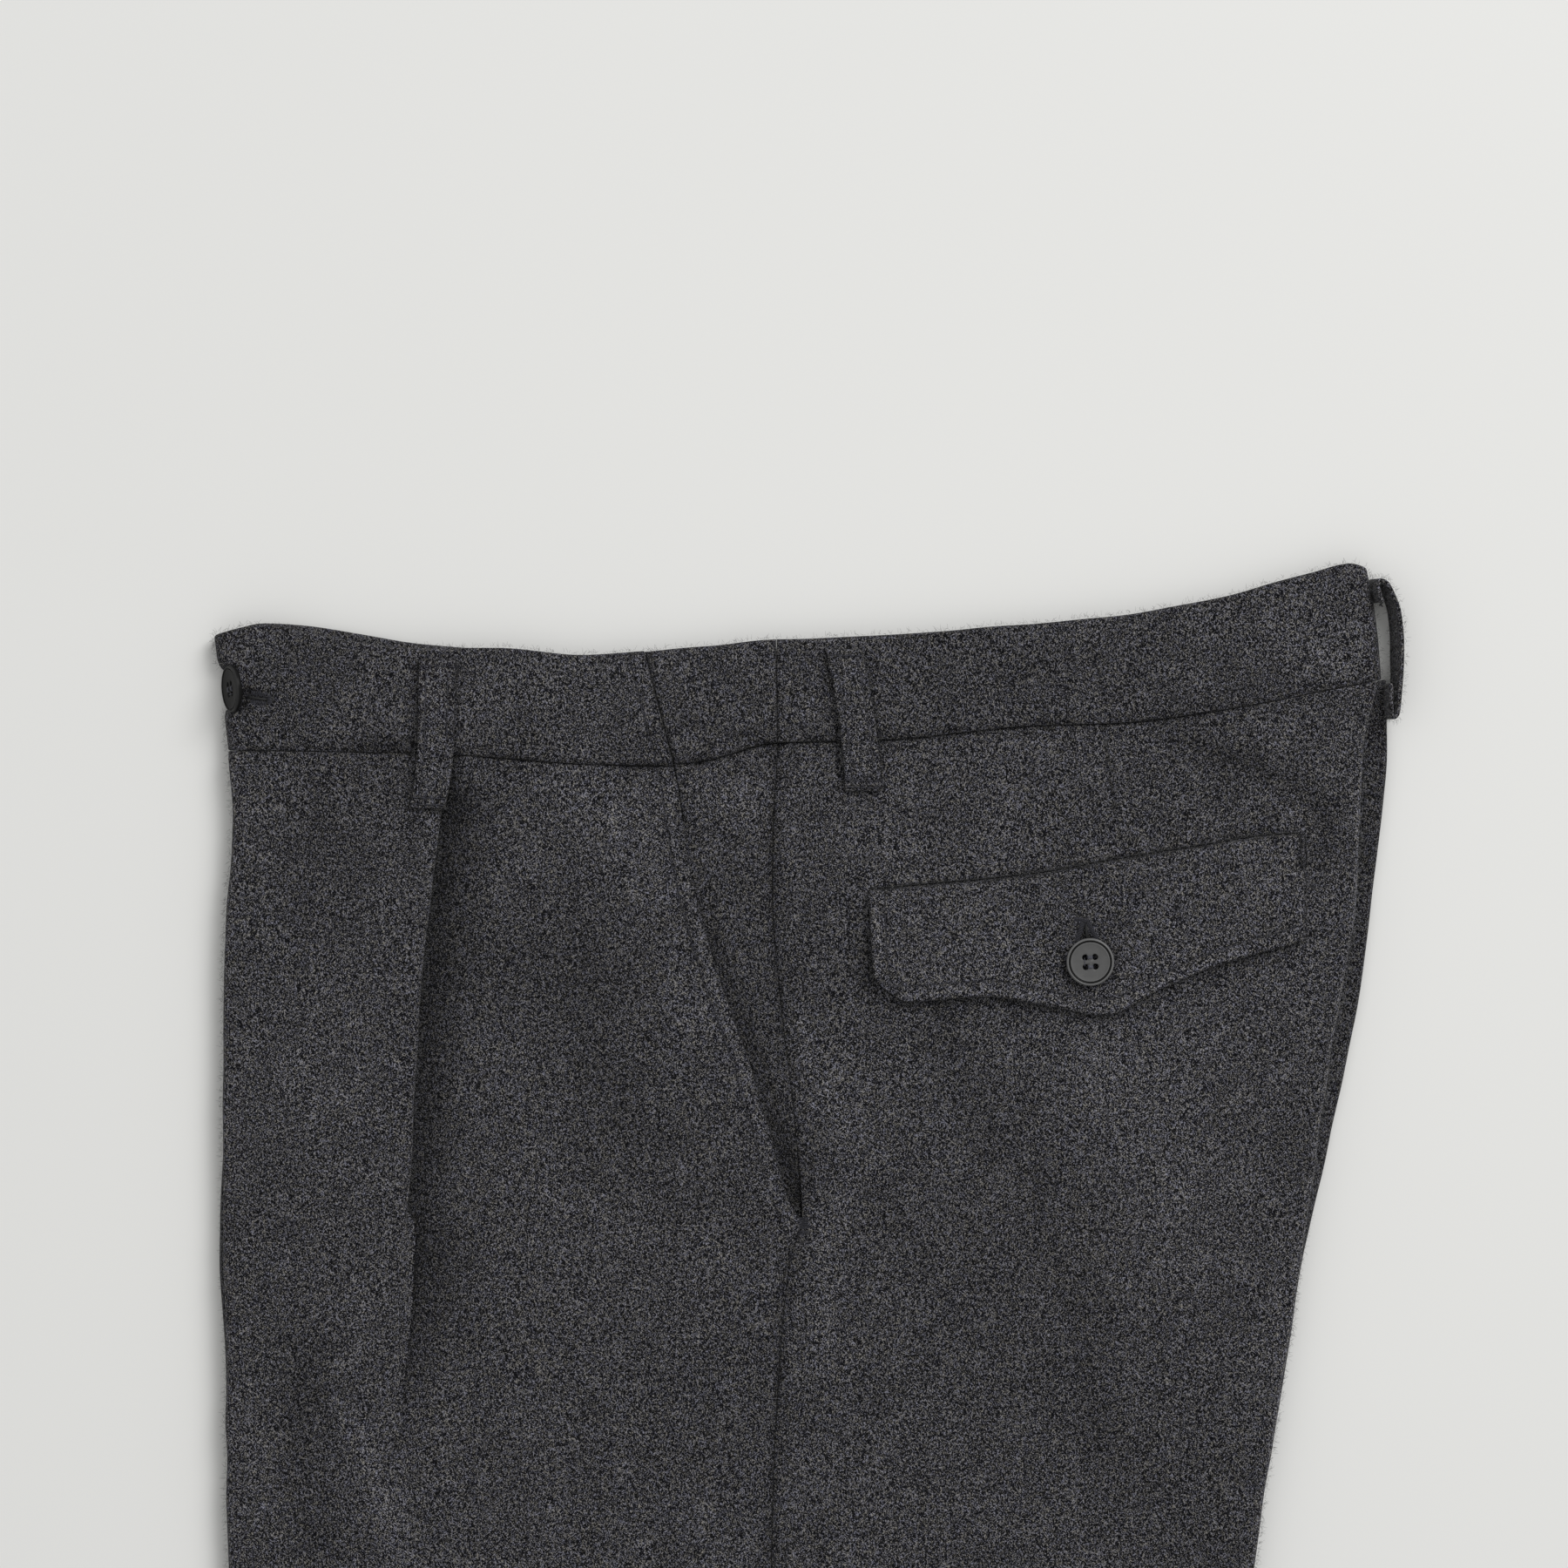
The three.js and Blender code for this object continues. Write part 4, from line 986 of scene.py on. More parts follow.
def band_face(x, y, v):
    """Relief and shade of the interlined band, which waves less than the legs and dips at its seam."""
    ridge, place = line_distance(x, y, BAND_RIDGE)
    below = (1 - v) * BAND_HEIGHT
    height = waves("band", x, y) + mark("band ridge", ridge) * (1 - place / 2)
    height += mark("band dip", below) + seam_pucker("band pucker", below, x)
    shade = waist_line_shade(x, "band") * mark("band line", below) + trail("band foot", below)
    return height, shade + mark("band top", v * BAND_HEIGHT) + darkness(x, y)


def clear_of_button(grid):
    """Holds the cloth of the closure clear of the leaning button's back."""
    back, n = WAIST_BUTTON_FOOT, WAIST_BUTTON_FACING
    x, y, z = grid[..., 0], grid[..., 1], grid[..., 2]
    beside = (y - back.y) * n.y + (z - back.z) * n.z
    limit = back.x - (BAND / 2 + BUTTON_HOLD["clear"] + beside) / n.x
    from_axis = np.hypot(y - back.y, (z - back.z) / math.hypot(n.x, n.y))
    hold = 1 - smooth((from_axis - BUTTON_HOLD["radius"]) / BUTTON_HOLD["ease"])
    moved = grid.copy()
    moved[..., 0] = x + hold * np.maximum(0, limit - x)
    return moved


def left_front_band(v):
    """The band's flat face, its end round the closure, and the lap behind."""
    end = band_end(v, "front")
    centre = end + (LEFT["band"] - LAP_Z + BAND) / 2
    start = band_mouth(FRONT_SEAM_Y, v) - SEAM / 2
    near = start - NEAR_BAND
    flat = np.concatenate([near, inside(near[-1], centre, 108)])
    lap = np.linspace(centre, end + LAP_REACH, 6)[1:]
    turn = turn_points(centre, LEFT["band"], LAP_Z, -1, BAND_TURN_POINTS)
    x, z = stretches((flat, LEFT["band"]), turn, (lap, LAP_Z))
    y = band_y(FRONT_WAIST, LEFT, x, v)
    outer = outer_share(len(flat), BAND_TURN_POINTS, len(lap))
    stitched = BAND_STITCH * outer * mark("topstitch", np.abs(start - x))
    height, shade = band_face(x, y, v)
    return x, y, z + outer * height - stitched, outer * shade + stitched + mark("band front end", start - x)


def right_front_band(v):
    """The tongue below the closure rises to meet the left end."""
    end = band_end(v, "front")
    x = np.linspace(band_mouth(FRONT_SEAM_Y, v) - SEAM / 2, end + TONGUE["end"], 60)
    raised = smooth(1 - (x - end - TONGUE["flat"]) / TONGUE["ramp"])
    return x, band_y(FRONT_WAIST, RIGHT, x, v), mix(RIGHT["band"], TONGUE["z"], raised), 0 * x


def side_band(half, v):
    start, stop = band_mouth(MOUTH_SEAM_Y, v) + SEAM / 2, band_side(v) - SEAM / 2
    room = EDGE_ROOM["columns"]
    between = np.linspace(start + room, stop - room, count_of("side band", half))
    x = np.concatenate([start + PIECE_EDGE, between, stop - PIECE_EDGE[::-1]])
    y = band_y(REAR_WAIST, half, x, v)
    z = half["band"] - half["up"] * MOUTH_STEP * (1 - smooth((x - start) / (stop - start)))
    if half is RIGHT:
        return x, y, z, 0 * x
    height, shade = band_face(x, y, v)
    shade = shade + mark("band end", stop - x) + mark("band side end", x - start)
    return x, y, z + height + mark("band end dip", stop - x), shade


def back_band(half, v):
    """From the side seam, round a quarter turn, to the centre back seam between the halves."""
    up, radius = half["up"], abs(half["band"] - PARTING_Z)
    start = band_side(v) + SEAM / 2
    centre = band_end(v, "back") - radius - BAND / 2
    near = start + PIECE_EDGE
    flat = np.concatenate([near, inside(near[-1], centre, count_of("back band", half))])
    angle = np.radians(np.linspace(0, BACK_TURN["degrees"], BACK_TURN["points"]))
    quarter = (centre + radius * np.sin(angle), PARTING_Z + up * radius * np.cos(angle))
    last = (np.full(2, quarter[0][-1] + BACK_TURN["last step"]), PARTING_Z + up * BACK_TURN["last"])
    x, z = stretches((flat, half["band"]), quarter, last)
    y = band_y(REAR_WAIST, half, x, v)
    if half is RIGHT:
        return x, y, z, 0 * x
    outer = outer_share(len(flat), len(x) - len(flat))
    height, shade = band_face(x, y, v)
    z = z + outer * (height + mark("band end dip", x - start))
    return x, y, z, outer * (shade + mark("band end", x - start))


def band(half, section, *first):
    """A band piece's grid, from its section at each share of the height."""
    return np.array([np.stack(section(*first, v), -1) for v in band_rows(half)])


# ---------------------------------------------------------------- flap and loops
def depth_at(x, y):
    level = mix(FRONT_Y, BACK_Y, (x - FRONT_X) / (BACK_X - FRONT_X))
    return PATTERN_LENGTH * (level - y) / (level - HEM_Y)


NEAR_FLAP = np.array([0, 1.1, 1.7, 2.3, 2.9, 3.5, 4.1, 4.6, 5.0, 5.4, 5.8, 6.4, 7.2, 8.2])
FLAP_TOP = np.array([0, 0.6, 1.2, 1.9])
FLAP_END = np.array([3, 2, 1.2, 0])
FLAP_GRID = {"left": 9.5, "right": 4, "along": 128, "top": 3, "foot": 1, "down": 25}
FLAP_REST = 0.15  # how far the flap stays below its button
FLAP_RISE = 3  # how much higher it may lie away from the button
FLAP_GROOVE = {"height": 0.45, "shade": 0.35}
FLAP_TONE = -0.1
FLAP_HOLE = [(88.6, 409.4), (91.4, 403.5)]


def flap():
    length = FLAP_RIGHT_X - FLAP_LEFT_X
    middle = np.linspace(FLAP_GRID["left"], length - FLAP_GRID["right"], FLAP_GRID["along"])
    columns = []
    for k in np.concatenate([NEAR_FLAP, middle, length - FLAP_END]):
        x = FLAP_LEFT_X + k
        top, foot, lift = [float(read(FLAP_EDGE, "x", x, c)) for c in ("top", "foot", "lift")]
        lowest = foot + NEAR_FLAP[-1] + FLAP_GRID["foot"]
        down = np.linspace(top - FLAP_GRID["top"], lowest, FLAP_GRID["down"])
        y = np.concatenate([top - FLAP_TOP, down, foot + NEAR_FLAP[::-1]])
        lean = (1 - along_ramp("flap lean", k)) * (read(FLAP_LEFT, "y", y, "x") - FLAP_LEFT_X)
        loose = lift * ramp(y, top, foot)
        columns.append(np.stack([x + lean, y, loose, y - foot, top - y, np.full(len(y), k)], -1))
    x, y, loose, from_foot, from_top, from_left = np.moveaxis(np.array(columns).transpose(1, 0, 2), -1, 0)
    edge = np.minimum(from_foot, from_left)
    stitched = mark("flap stitch", edge)
    z = back_height(LEFT, x, depth_at(x, y)) + relief(x, y) + loose
    z += CLOTH / 2 + FLAP_CLEARANCE + FLAP / 2 + waves("flap", x, y)
    z += waves("flap edge", x + y) * trail("flap edge", edge)
    z -= FLAP_GROOVE["height"] * stitched + mark("flap top dip", from_top)
    from_button = np.hypot(x - FLAP_BUTTON.x, y - FLAP_BUTTON.y)
    below_button = FLAP_BUTTON.z - FLAP_REST - FLAP / 2
    z = np.minimum(z, below_button + FLAP_RISE * along_ramp("flap button", from_button))
    to_hole, _ = line_distance(x, y, FLAP_HOLE)
    # Painted shade in the flap's stitch grooves, top seam and edges, round its button and at its
    # buttonhole, with a painted highlight on the crest inside its edges
    shade = FLAP_TONE + FLAP_GROOVE["shade"] * stitched + waves("flap nap", x, y)
    shade += mark("flap top", from_top) + mark("flap edge", edge) + mark("flap crest", edge)
    shade += mark("flap bar", length - from_left) * along_ramp("flap bar", from_top)
    shade += mark("flap button", from_button) + mark("flap hole", to_hole)
    return np.stack([x, y, z, shade], -1)


NEAR_LOOP = np.array([0, 0.9, 1.6])
LOOP_SIDE = np.array([0, 0.9, 1.4, 1.9, 2.4, 2.9, 3.6])
LOOP_ROOM = {"ends": 2.4, "sides": 4.4}
LOOP_GROOVE = {"side": 0.22, "end": 0.3}
LOOP_SHADE = {"side": 0.25, "end": 0.5, "all": -0.1}


def flat_loop(rows, height, wave_name=None):
    """A strip sewn down at both ends, with a raised middle; the ones that show have waves."""
    length = np.ptp(rows["y"])
    ends, sides = LOOP_ROOM["ends"], LOOP_ROOM["sides"]
    down = np.concatenate([NEAR_LOOP, np.linspace(ends, length - ends, 60), length - NEAR_LOOP[::-1]])
    across = np.linspace(sides, LOOP_WIDTH - sides, 5)
    across = np.concatenate([LOOP_SIDE, across, LOOP_WIDTH - LOOP_SIDE[::-1]])
    side = np.minimum(across, LOOP_WIDTH - across)
    grid = []
    for s in down:
        y = rows["y"].max() - s
        x = float(read(rows, "y", y, "x")) - LOOP_WIDTH / 2 + across
        z, shade = np.full(len(x), float(height(y))), 0 * x
        if wave_name:
            stitched = mark("loop stitch", side)
            bars = mark("loop bar", s - LOOP_ENDS["top"])
            bars += mark("loop bar", length - s - LOOP_ENDS["foot"])
            bars += mark("loop bar", length - s - LOOP_ENDS["foot inner"])
            z += waves(wave_name, x, y) - LOOP_GROOVE["side"] * stitched - LOOP_GROOVE["end"] * bars
            shade = LOOP_SHADE["all"] + LOOP_SHADE["side"] * stitched + LOOP_SHADE["end"] * bars
            shade += mark("loop edge", side)
        grid.append(np.stack([x, np.full(len(x), y), z, shade], -1))
    return np.array(grid)


# Stretches of the back loop's path, on its s: from, to and number of points
BACK_LOOP_STRETCHES = [(2.4, 5.2, 4), (6, 10.4, 12), (11.4, 52, 34), (52.8, 56.6, 12), (57.4, 63.6, 6)]


def back_loop():
    """The loop at the centre back stands on its edge and arches away from the waistband."""
    ends, length = LOOP_ROOM["ends"], BACK_LOOP["s"][-1]
    across = np.linspace(ends, LOOP_WIDTH - ends, 7)
    across = np.concatenate([NEAR_LOOP, across, LOOP_WIDTH - NEAR_LOOP[::-1]])
    along = [np.linspace(*stretch) for stretch in BACK_LOOP_STRETCHES]
    along = np.concatenate([NEAR_LOOP, *along, length - NEAR_LOOP[::-1]])
    x, y = read(BACK_LOOP, "s", along, "x"), read(BACK_LOOP, "s", along, "y")
    grid = []
    for a in across:
        lean = (a - LOOP_WIDTH / 2) * math.sin(BACK_LOOP_TILT)
        z = np.full(len(x), a * math.cos(BACK_LOOP_TILT))
        grid.append(np.stack([x + lean + waves("back loop", along, a), y, z, 0 * x], -1))
    return np.array(grid)


# ---------------------------------------------------------------- materials
def nodes_of(name):
    material = bpy.data.materials.new(name)
    material.use_nodes = True
    tree = material.node_tree
    return material, tree, tree.nodes["Principled BSDF"]


def add(tree, kind, inputs=(), **settings):
    """A node with its settings; inputs pairs a socket with a value or another node's output."""
    node = tree.nodes.new(kind)
    for name, value in settings.items():
        setattr(node, name, value)
    for socket, value in dict(inputs).items():
        if isinstance(value, bpy.types.NodeSocket):
            tree.links.new(value, node.inputs[socket])
        else:
            node.inputs[socket].default_value = value
    return node


def math_node(tree, operation, a, b=0.0, c=0.0):
    return add(tree, "ShaderNodeMath", {0: a, 1: b, 2: c}, operation=operation).outputs[0]


def ranged(tree, value, low, high, to_low=0.0, to_high=1.0):
    sockets = {"Value": value, "From Min": low, "From Max": high, "To Min": to_low, "To Max": to_high}
    return add(tree, "ShaderNodeMapRange", sockets).outputs[0]


def blend(tree, share, a, b):
    return add(tree, "ShaderNodeMix", {0: share, 6: a, 7: b}, data_type="RGBA").outputs[2]


def grey(value):
    return (value, value, value, 1)


def ramp_of(tree, share, stops):
    """A colour ramp; its first two stops are the ends."""
    ramp_node = add(tree, "ShaderNodeValToRGB", {"Fac": share})
    points = ramp_node.color_ramp.elements
    for number, (position, colour) in enumerate(stops):
        point = points[number] if number < 2 else points.new(position)
        point.position, point.color = position, (*colour, 1)
    return ramp_node.outputs[0]


def bumped(tree, shader, strength, distance, height):
    sockets = {"Strength": strength, "Distance": distance * MM, "Height": height}
    tree.links.new(add(tree, "ShaderNodeBump", sockets).outputs[0], shader.inputs["Normal"])


def noise(tree, vector, scale, detail=2.0, roughness=0.5):
    sockets = {"Vector": vector, "Scale": scale, "Detail": detail, "Roughness": roughness}
    return add(tree, "ShaderNodeTexNoise", sockets).outputs["Fac"]


def stretched(tree, vector, angle, along, across):
    """The coordinates turned about Z and squeezed, so that a noise runs in one direction."""
    turned = add(tree, "ShaderNodeMapping", {"Vector": vector, "Rotation": (0, 0, math.radians(angle))})
    scale = (1 / along, 1 / across, 1 / across)
    return add(tree, "ShaderNodeMapping", {"Vector": turned.outputs[0], "Scale": scale}).outputs[0]


# Flannel: single fibres run in three directions; the noises' scales are per millimetre
FIBRE_ANGLES = (36, -49, 82)
FIBRE = {"length": 1.1, "width": 0.35, "from": 0.5, "to": 0.82}
SPECKLE = {"scale": 3.1, "from": 0.28, "to": 0.72}
GAPS = {"scale": 2.1, "from": 0.36, "to": 0.54, "dark": 0.45, "light": 1.08}
GRAIN = {"contrast": 5.6, "middle": 0.436, "place": 0.45}
FIBRE_COLOURS = [(0.0, (0.003, 0.003, 0.004)), (1.0, (0.205, 0.200, 0.200)), (0.45, (0.0335, 0.033, 0.036))]
WEFT = {"length": 8.0, "width": 0.8}
# Slow tones of the nap: the noise's scale, detail and roughness, then its gain and the least brightness
TONES = {
    "weft": (1.0, 2.0, 0.6, 0.3, 0.85),
    "cloud": (0.09, 3.0, 0.55, 0.34, 0.83),
    "wide": (0.018, 2.0, 0.5, 0.24, 0.88),
}
TINT = {"scale": 0.8, "from": 0.3, "to": 0.7}
COOL, WARM = (0.93, 0.96, 1.18, 1), (1.05, 1.02, 0.92, 1)
NAP_BUMP = {"strength": 0.6, "distance": 0.35, "fibres": 0.8, "cloud": 1.2}


def flannel():
    """Charcoal melange flannel: short light and dark fibres in all directions over a faint twill."""
    material, tree, shader = nodes_of("flannel")
    place = add(tree, "ShaderNodeTexCoord").outputs["Object"]
    mm = add(tree, "ShaderNodeMapping", {"Vector": place, "Scale": (1 / MM, 1 / MM, 1 / MM)}).outputs[0]
    crossed = 0.0
    for angle in FIBRE_ANGLES:
        fibre = noise(tree, stretched(tree, mm, angle, FIBRE["length"], FIBRE["width"]), 1.0, 1.0)
        crossed = math_node(tree, "MAXIMUM", crossed, fibre)
    light = ranged(tree, crossed, FIBRE["from"], FIBRE["to"])
    speckle = ranged(tree, noise(tree, mm, SPECKLE["scale"], 2.0, 0.6), SPECKLE["from"], SPECKLE["to"])
    mixed = math_node(tree, "MULTIPLY_ADD", light, 0.5, math_node(tree, "MULTIPLY", speckle, 0.5))
    sharp = math_node(tree, "SUBTRACT", mixed, GRAIN["middle"])
    sharp = math_node(tree, "MULTIPLY_ADD", sharp, GRAIN["contrast"], GRAIN["place"])
    fibre_colour = ramp_of(tree, sharp, FIBRE_COLOURS)
    weft = stretched(tree, mm, 0, WEFT["length"], WEFT["width"])
    gaps = noise(tree, mm, GAPS["scale"], 1.0)
    shade = ranged(tree, gaps, GAPS["from"], GAPS["to"], GAPS["dark"], GAPS["light"])
    slow = {name: noise(tree, weft if name == "weft" else mm, *row[:3]) for name, row in TONES.items()}
    for name, (*_, gain, least) in TONES.items():
        tone = math_node(tree, "MULTIPLY_ADD", slow[name], gain, least)
        shade = math_node(tree, "MULTIPLY", shade, tone)
    # The pieces' painted shading: painted shade darkens the cloth's colour, painted highlight lightens it
    painted_shading = add(tree, "ShaderNodeAttribute", attribute_name="painted_shading").outputs["Fac"]
    shade = math_node(tree, "MULTIPLY", shade, math_node(tree, "SUBTRACT", 1.0, painted_shading))
    tint = ranged(tree, noise(tree, mm, TINT["scale"], 1.0), TINT["from"], TINT["to"])
    colours = {0: 1.0, 6: fibre_colour, 7: blend(tree, tint, COOL, WARM)}
    base = add(tree, "ShaderNodeMix", colours, data_type="RGBA", blend_type="MULTIPLY").outputs[2]
    scaled = add(tree, "ShaderNodeVectorMath", {0: base, "Scale": shade}, operation="SCALE").outputs[0]
    tree.links.new(scaled, shader.inputs["Base Color"])
    height = math_node(tree, "MULTIPLY", slow["cloud"], NAP_BUMP["cloud"])
    height = math_node(tree, "MULTIPLY_ADD", mixed, NAP_BUMP["fibres"], height)
    bumped(tree, shader, NAP_BUMP["strength"], NAP_BUMP["distance"], height)
    finish = {"Roughness": 0.95, "Specular IOR Level": 0.08, "Sheen Weight": 0.05, "Sheen Roughness": 0.55}
    for socket, value in finish.items():
        shader.inputs[socket].default_value = value
    return material


def thread(name, colour, roughness=0.7):
    material, tree, shader = nodes_of(name)
    place = add(tree, "ShaderNodeTexCoord").outputs["Object"]
    twist = noise(tree, place, 4200)
    dark, light = [[c * factor for c in colour] + [1] for factor in (0.5, 1.6)]
    tree.links.new(blend(tree, ranged(tree, twist, 0.35, 0.65), dark, light), shader.inputs["Base Color"])
    shader.inputs["Roughness"].default_value = roughness
    return material


# Where the button's tones change, by radius (mm): from and to
BUTTON_RINGS = {"rim wall": (6.1, 6.35), "groove inside": (6.48, 6.41), "groove outside": (7.04, 7.12)}
# The groove's and the holes' near-black tones are painted shade in these recesses; face and rim are the
# resin's own tones
HOLE_SHADE_DEPTH = {"from": 1.8, "to": 1.4}  # height below which the holes are dark
BUTTON_TONES_AND_SHADE = {"face": (0.062, 0.105), "rim": (0.095, 0.15), "groove": (0.005, 0.01), "hole": 0.008}


def resin(name, painted_light):
    """Dark grey resin: a satin rim and a duller face with fine turning marks. Below 1, the second
    value darkens its colours and its specular as painted shade.
    """
    material, tree, shader = nodes_of(name)
    place = add(tree, "ShaderNodeTexCoord").outputs["Object"]
    split = add(tree, "ShaderNodeSeparateXYZ", {0: place})
    flat = add(tree, "ShaderNodeCombineXYZ", {0: split.outputs[0], 1: split.outputs[1]}).outputs[0]
    radius = add(tree, "ShaderNodeVectorMath", {0: flat}, operation="LENGTH").outputs["Value"]
    marks = noise(tree, add(tree, "ShaderNodeCombineXYZ", {0: radius}).outputs[0], 5200, 3.0, 0.7)
    cloud = noise(tree, place, 420, 3.0, 0.6)
    tone = math_node(tree, "MULTIPLY_ADD", marks, 0.25, math_node(tree, "MULTIPLY", cloud, 0.75))

    def two_tones(share, part, scale):
        return blend(tree, share, *[grey(value * scale) for value in BUTTON_TONES_AND_SHADE[part]])

    def ring(part):
        start, stop = BUTTON_RINGS[part]
        return ranged(tree, radius, start * MM, stop * MM)

    rim = two_tones(cloud, "rim", painted_light)
    face = blend(tree, ring("rim wall"), two_tones(tone, "face", painted_light), rim)
    # Painted shade in the rim's groove
    colour = blend(tree, ring("groove inside"), two_tones(cloud, "groove", 1), face)
    colour = blend(tree, ring("groove outside"), colour, rim)
    # Painted shade deep in the holes
    deep = ranged(tree, split.outputs[2], HOLE_SHADE_DEPTH["from"] * MM, HOLE_SHADE_DEPTH["to"] * MM)
    colour = blend(tree, deep, colour, grey(BUTTON_TONES_AND_SHADE["hole"]))
    tree.links.new(colour, shader.inputs["Base Color"])
    tree.links.new(ranged(tree, radius, 6 * MM, 6.8 * MM, 0.55, 0.3), shader.inputs["Roughness"])
    shader.inputs["Specular IOR Level"].default_value = 0.3 * painted_light
    bumped(tree, shader, 0.15, 0.05, marks)
    return material


def paper():
    """The pale, even surface that the trousers lie on."""
    material, tree, shader = nodes_of("pale_floor")
    place = add(tree, "ShaderNodeTexCoord").outputs["Object"]
    tone = blend(tree, noise(tree, place, 3.0), (0.79, 0.79, 0.775, 1), (0.81, 0.81, 0.795, 1))
    tree.links.new(tone, shader.inputs["Base Color"])
    shader.inputs["Roughness"].default_value = 0.9
    shader.inputs["Specular IOR Level"].default_value = 0.1
    return material


FLANNEL = flannel()
THREAD = thread("sewing_thread", (0.017, 0.017, 0.024))
# Near-black thread, also used for the painted shadow in the buttonhole slits
BLACK_THREAD_AND_SHADOW = thread("black_thread_and_shadow", (0.003, 0.003, 0.0035))
BUTTON_THREAD = thread("button_thread", (0.06, 0.062, 0.078))
LOOSE_FIBRE = thread("loose_fibre", (0.11, 0.11, 0.112), 0.9)
RESIN = resin("button_resin", 1.0)
# The waist button faces away from the key light: its copy of the resin is darkened as painted shade
SHADED_RESIN = resin("shaded_button_resin", 0.24)

# ---------------------------------------------------------------- camera, floor and light
VIEW_CENTRE = (-8.0, 455.0)
VIEW_SIZE = 514.3
CAMERA_HEIGHT = 2600
FOCUS_HEIGHT = 7
SENSOR = 36
camera_data = bpy.data.cameras.new("camera")
camera_data.sensor_width = SENSOR
camera_data.lens = SENSOR * (CAMERA_HEIGHT - FOCUS_HEIGHT) / VIEW_SIZE
camera = bpy.data.objects.new("camera", camera_data)
camera.location = (VIEW_CENTRE[0] * MM, VIEW_CENTRE[1] * MM, CAMERA_HEIGHT * MM)
bpy.context.scene.collection.objects.link(camera)
bpy.context.scene.camera = camera

HALF_FLOOR = 6000
corners = np.array([(-1, -1, 0), (1, -1, 0), (1, 1, 0), (-1, 1, 0)]) * HALF_FLOOR * MM
floor = mesh_object("floor", corners, [(0, 1, 2, 3)], paper())

FILL = {"Color": (1.0, 1.0, 0.99, 1), "Strength": 0.55}
world = bpy.data.worlds.new("studio")
world.use_nodes = True
for socket, value in FILL.items():
    world.node_tree.nodes["Background"].inputs[socket].default_value = value
bpy.context.scene.world = world
KEY = {"place": (2.0, 2.8, 2.8), "size": 2.2, "power": 109, "target": (0, 0.45, 0)}  # metres and watts


def softbox(name, place, size, power, target):
    data = bpy.data.lights.new(name, "AREA")
    data.shape = "SQUARE"
    data.size = size
    data.energy = power
    light = bpy.data.objects.new(name, data)
    light.location = place
    light.rotation_euler = (Vector(target) - Vector(place)).to_track_quat("-Z", "Y").to_euler()
    bpy.context.scene.collection.objects.link(light)


softbox("key", **KEY)
bpy.context.scene.view_settings.view_transform = "Standard"

# ---------------------------------------------------------------- the cloth pieces
pieces = {}


def on_body(made):
    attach(made, "root")
    return made


def piece(name, node, cut, *args, **settings):
    """A cloth piece in place of a CAD node; cut is its flat width, length and area, in millimetres."""
    made = on_body(shell(name, *args, FLANNEL, **settings))
    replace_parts(made, node)
    pieces[name] = (made, cut)
    return made


# Edge radii of the grids: at the first and last row, then at the first and last column
PANEL_RIM = (0.5, 0.5, 0.5, 0.5)
BAND_RIM = (1.3, 0.7, 0.9, 0.9)
SIDE_BAND_RIM = (1.3, 0.7, 0.9, 0.7)
BACK_BAND_RIM = (1.3, 0.7, 0.7, 0.2)
FLAP_RIM = (0.6, 0.9, 0.9, 0.6)
LOOP_RIM = (0.7, 0.7, 0.7, 0.7)
BACK_LOOP_RIM = (0.6, 0.6, 0.6, 0.6)
# Flat cuts: width, length and, where it isn't a plain strip, area
CUTS = {
    "front": (335, 1035, 260000),
    "back": (350, 1050, 294000),
    "facing": (50, 175, 5200),
    "band side": (44, 40, 1400),
    "band back": (204, 44, 7300),
    "left band front": (170, 44, 5900),
    "right band front": (145, 44, 5200),
    "flap": (146, 50, 5800),
    "back loop": (LOOP_WIDTH, BACK_LOOP["s"][-1], None),
}
for side, half in (("left", LEFT), ("right", RIGHT)):
    out = -half["up"]
    for name, node, cut, grid_of, way in (
        ("front_panel", "front", "front", front_panel, -out),
        ("back_panel", "back", "back", back_panel, out),
        ("pocket_bag_facing", "pocket_facing", "facing", facing, out),
    ):
        piece(f"{side}_{name}", f"{side}_{node}", CUTS[cut], grid_of(half), CLOTH, PANEL_RIM, outward=way)
    for place, section, rim in (("side", side_band, SIDE_BAND_RIM), ("back", back_band, BACK_BAND_RIM)):
        name, node = f"{side}_band_{place}", f"{side}_waistband_{place}"
        piece(name, node, CUTS[f"band {place}"], band(half, section, half), BAND, rim, outward=out)
piece(
    "left_band_front", "left_waistband_front", CUTS["left band front"],
    band(LEFT, left_front_band), BAND, BAND_RIM, outward=-1, adjust=clear_of_button,
)
piece(
    "right_band_front", "right_waistband_front", CUTS["right band front"],
    band(RIGHT, right_front_band), BAND, BAND_RIM, outward=1,
)
piece("flap", "back_pocket_flap", CUTS["flap"], flap(), FLAP, FLAP_RIM, outward=-1)
for name, rows in (("front", FRONT_LOOP), ("side", SIDE_LOOP)):
    cut = (LOOP_WIDTH, float(np.ptp(rows["y"])), None)
    above = flat_loop(rows, lambda y, rows=rows: read(rows, "y", y, "z"), f"{name} loop")
    below = flat_loop(rows, lambda y: LOOP / 2)
    piece(f"{name}_loop", f"belt_loop_left_{name}", cut, above, LOOP, LOOP_RIM, outward=-1)
    piece(f"under_{name}_loop", f"belt_loop_right_{name}", cut, below, LOOP, LOOP_RIM, outward=-1)
piece("back_loop", "belt_loop_back", CUTS["back loop"], back_loop(), LOOP, BACK_LOOP_RIM)


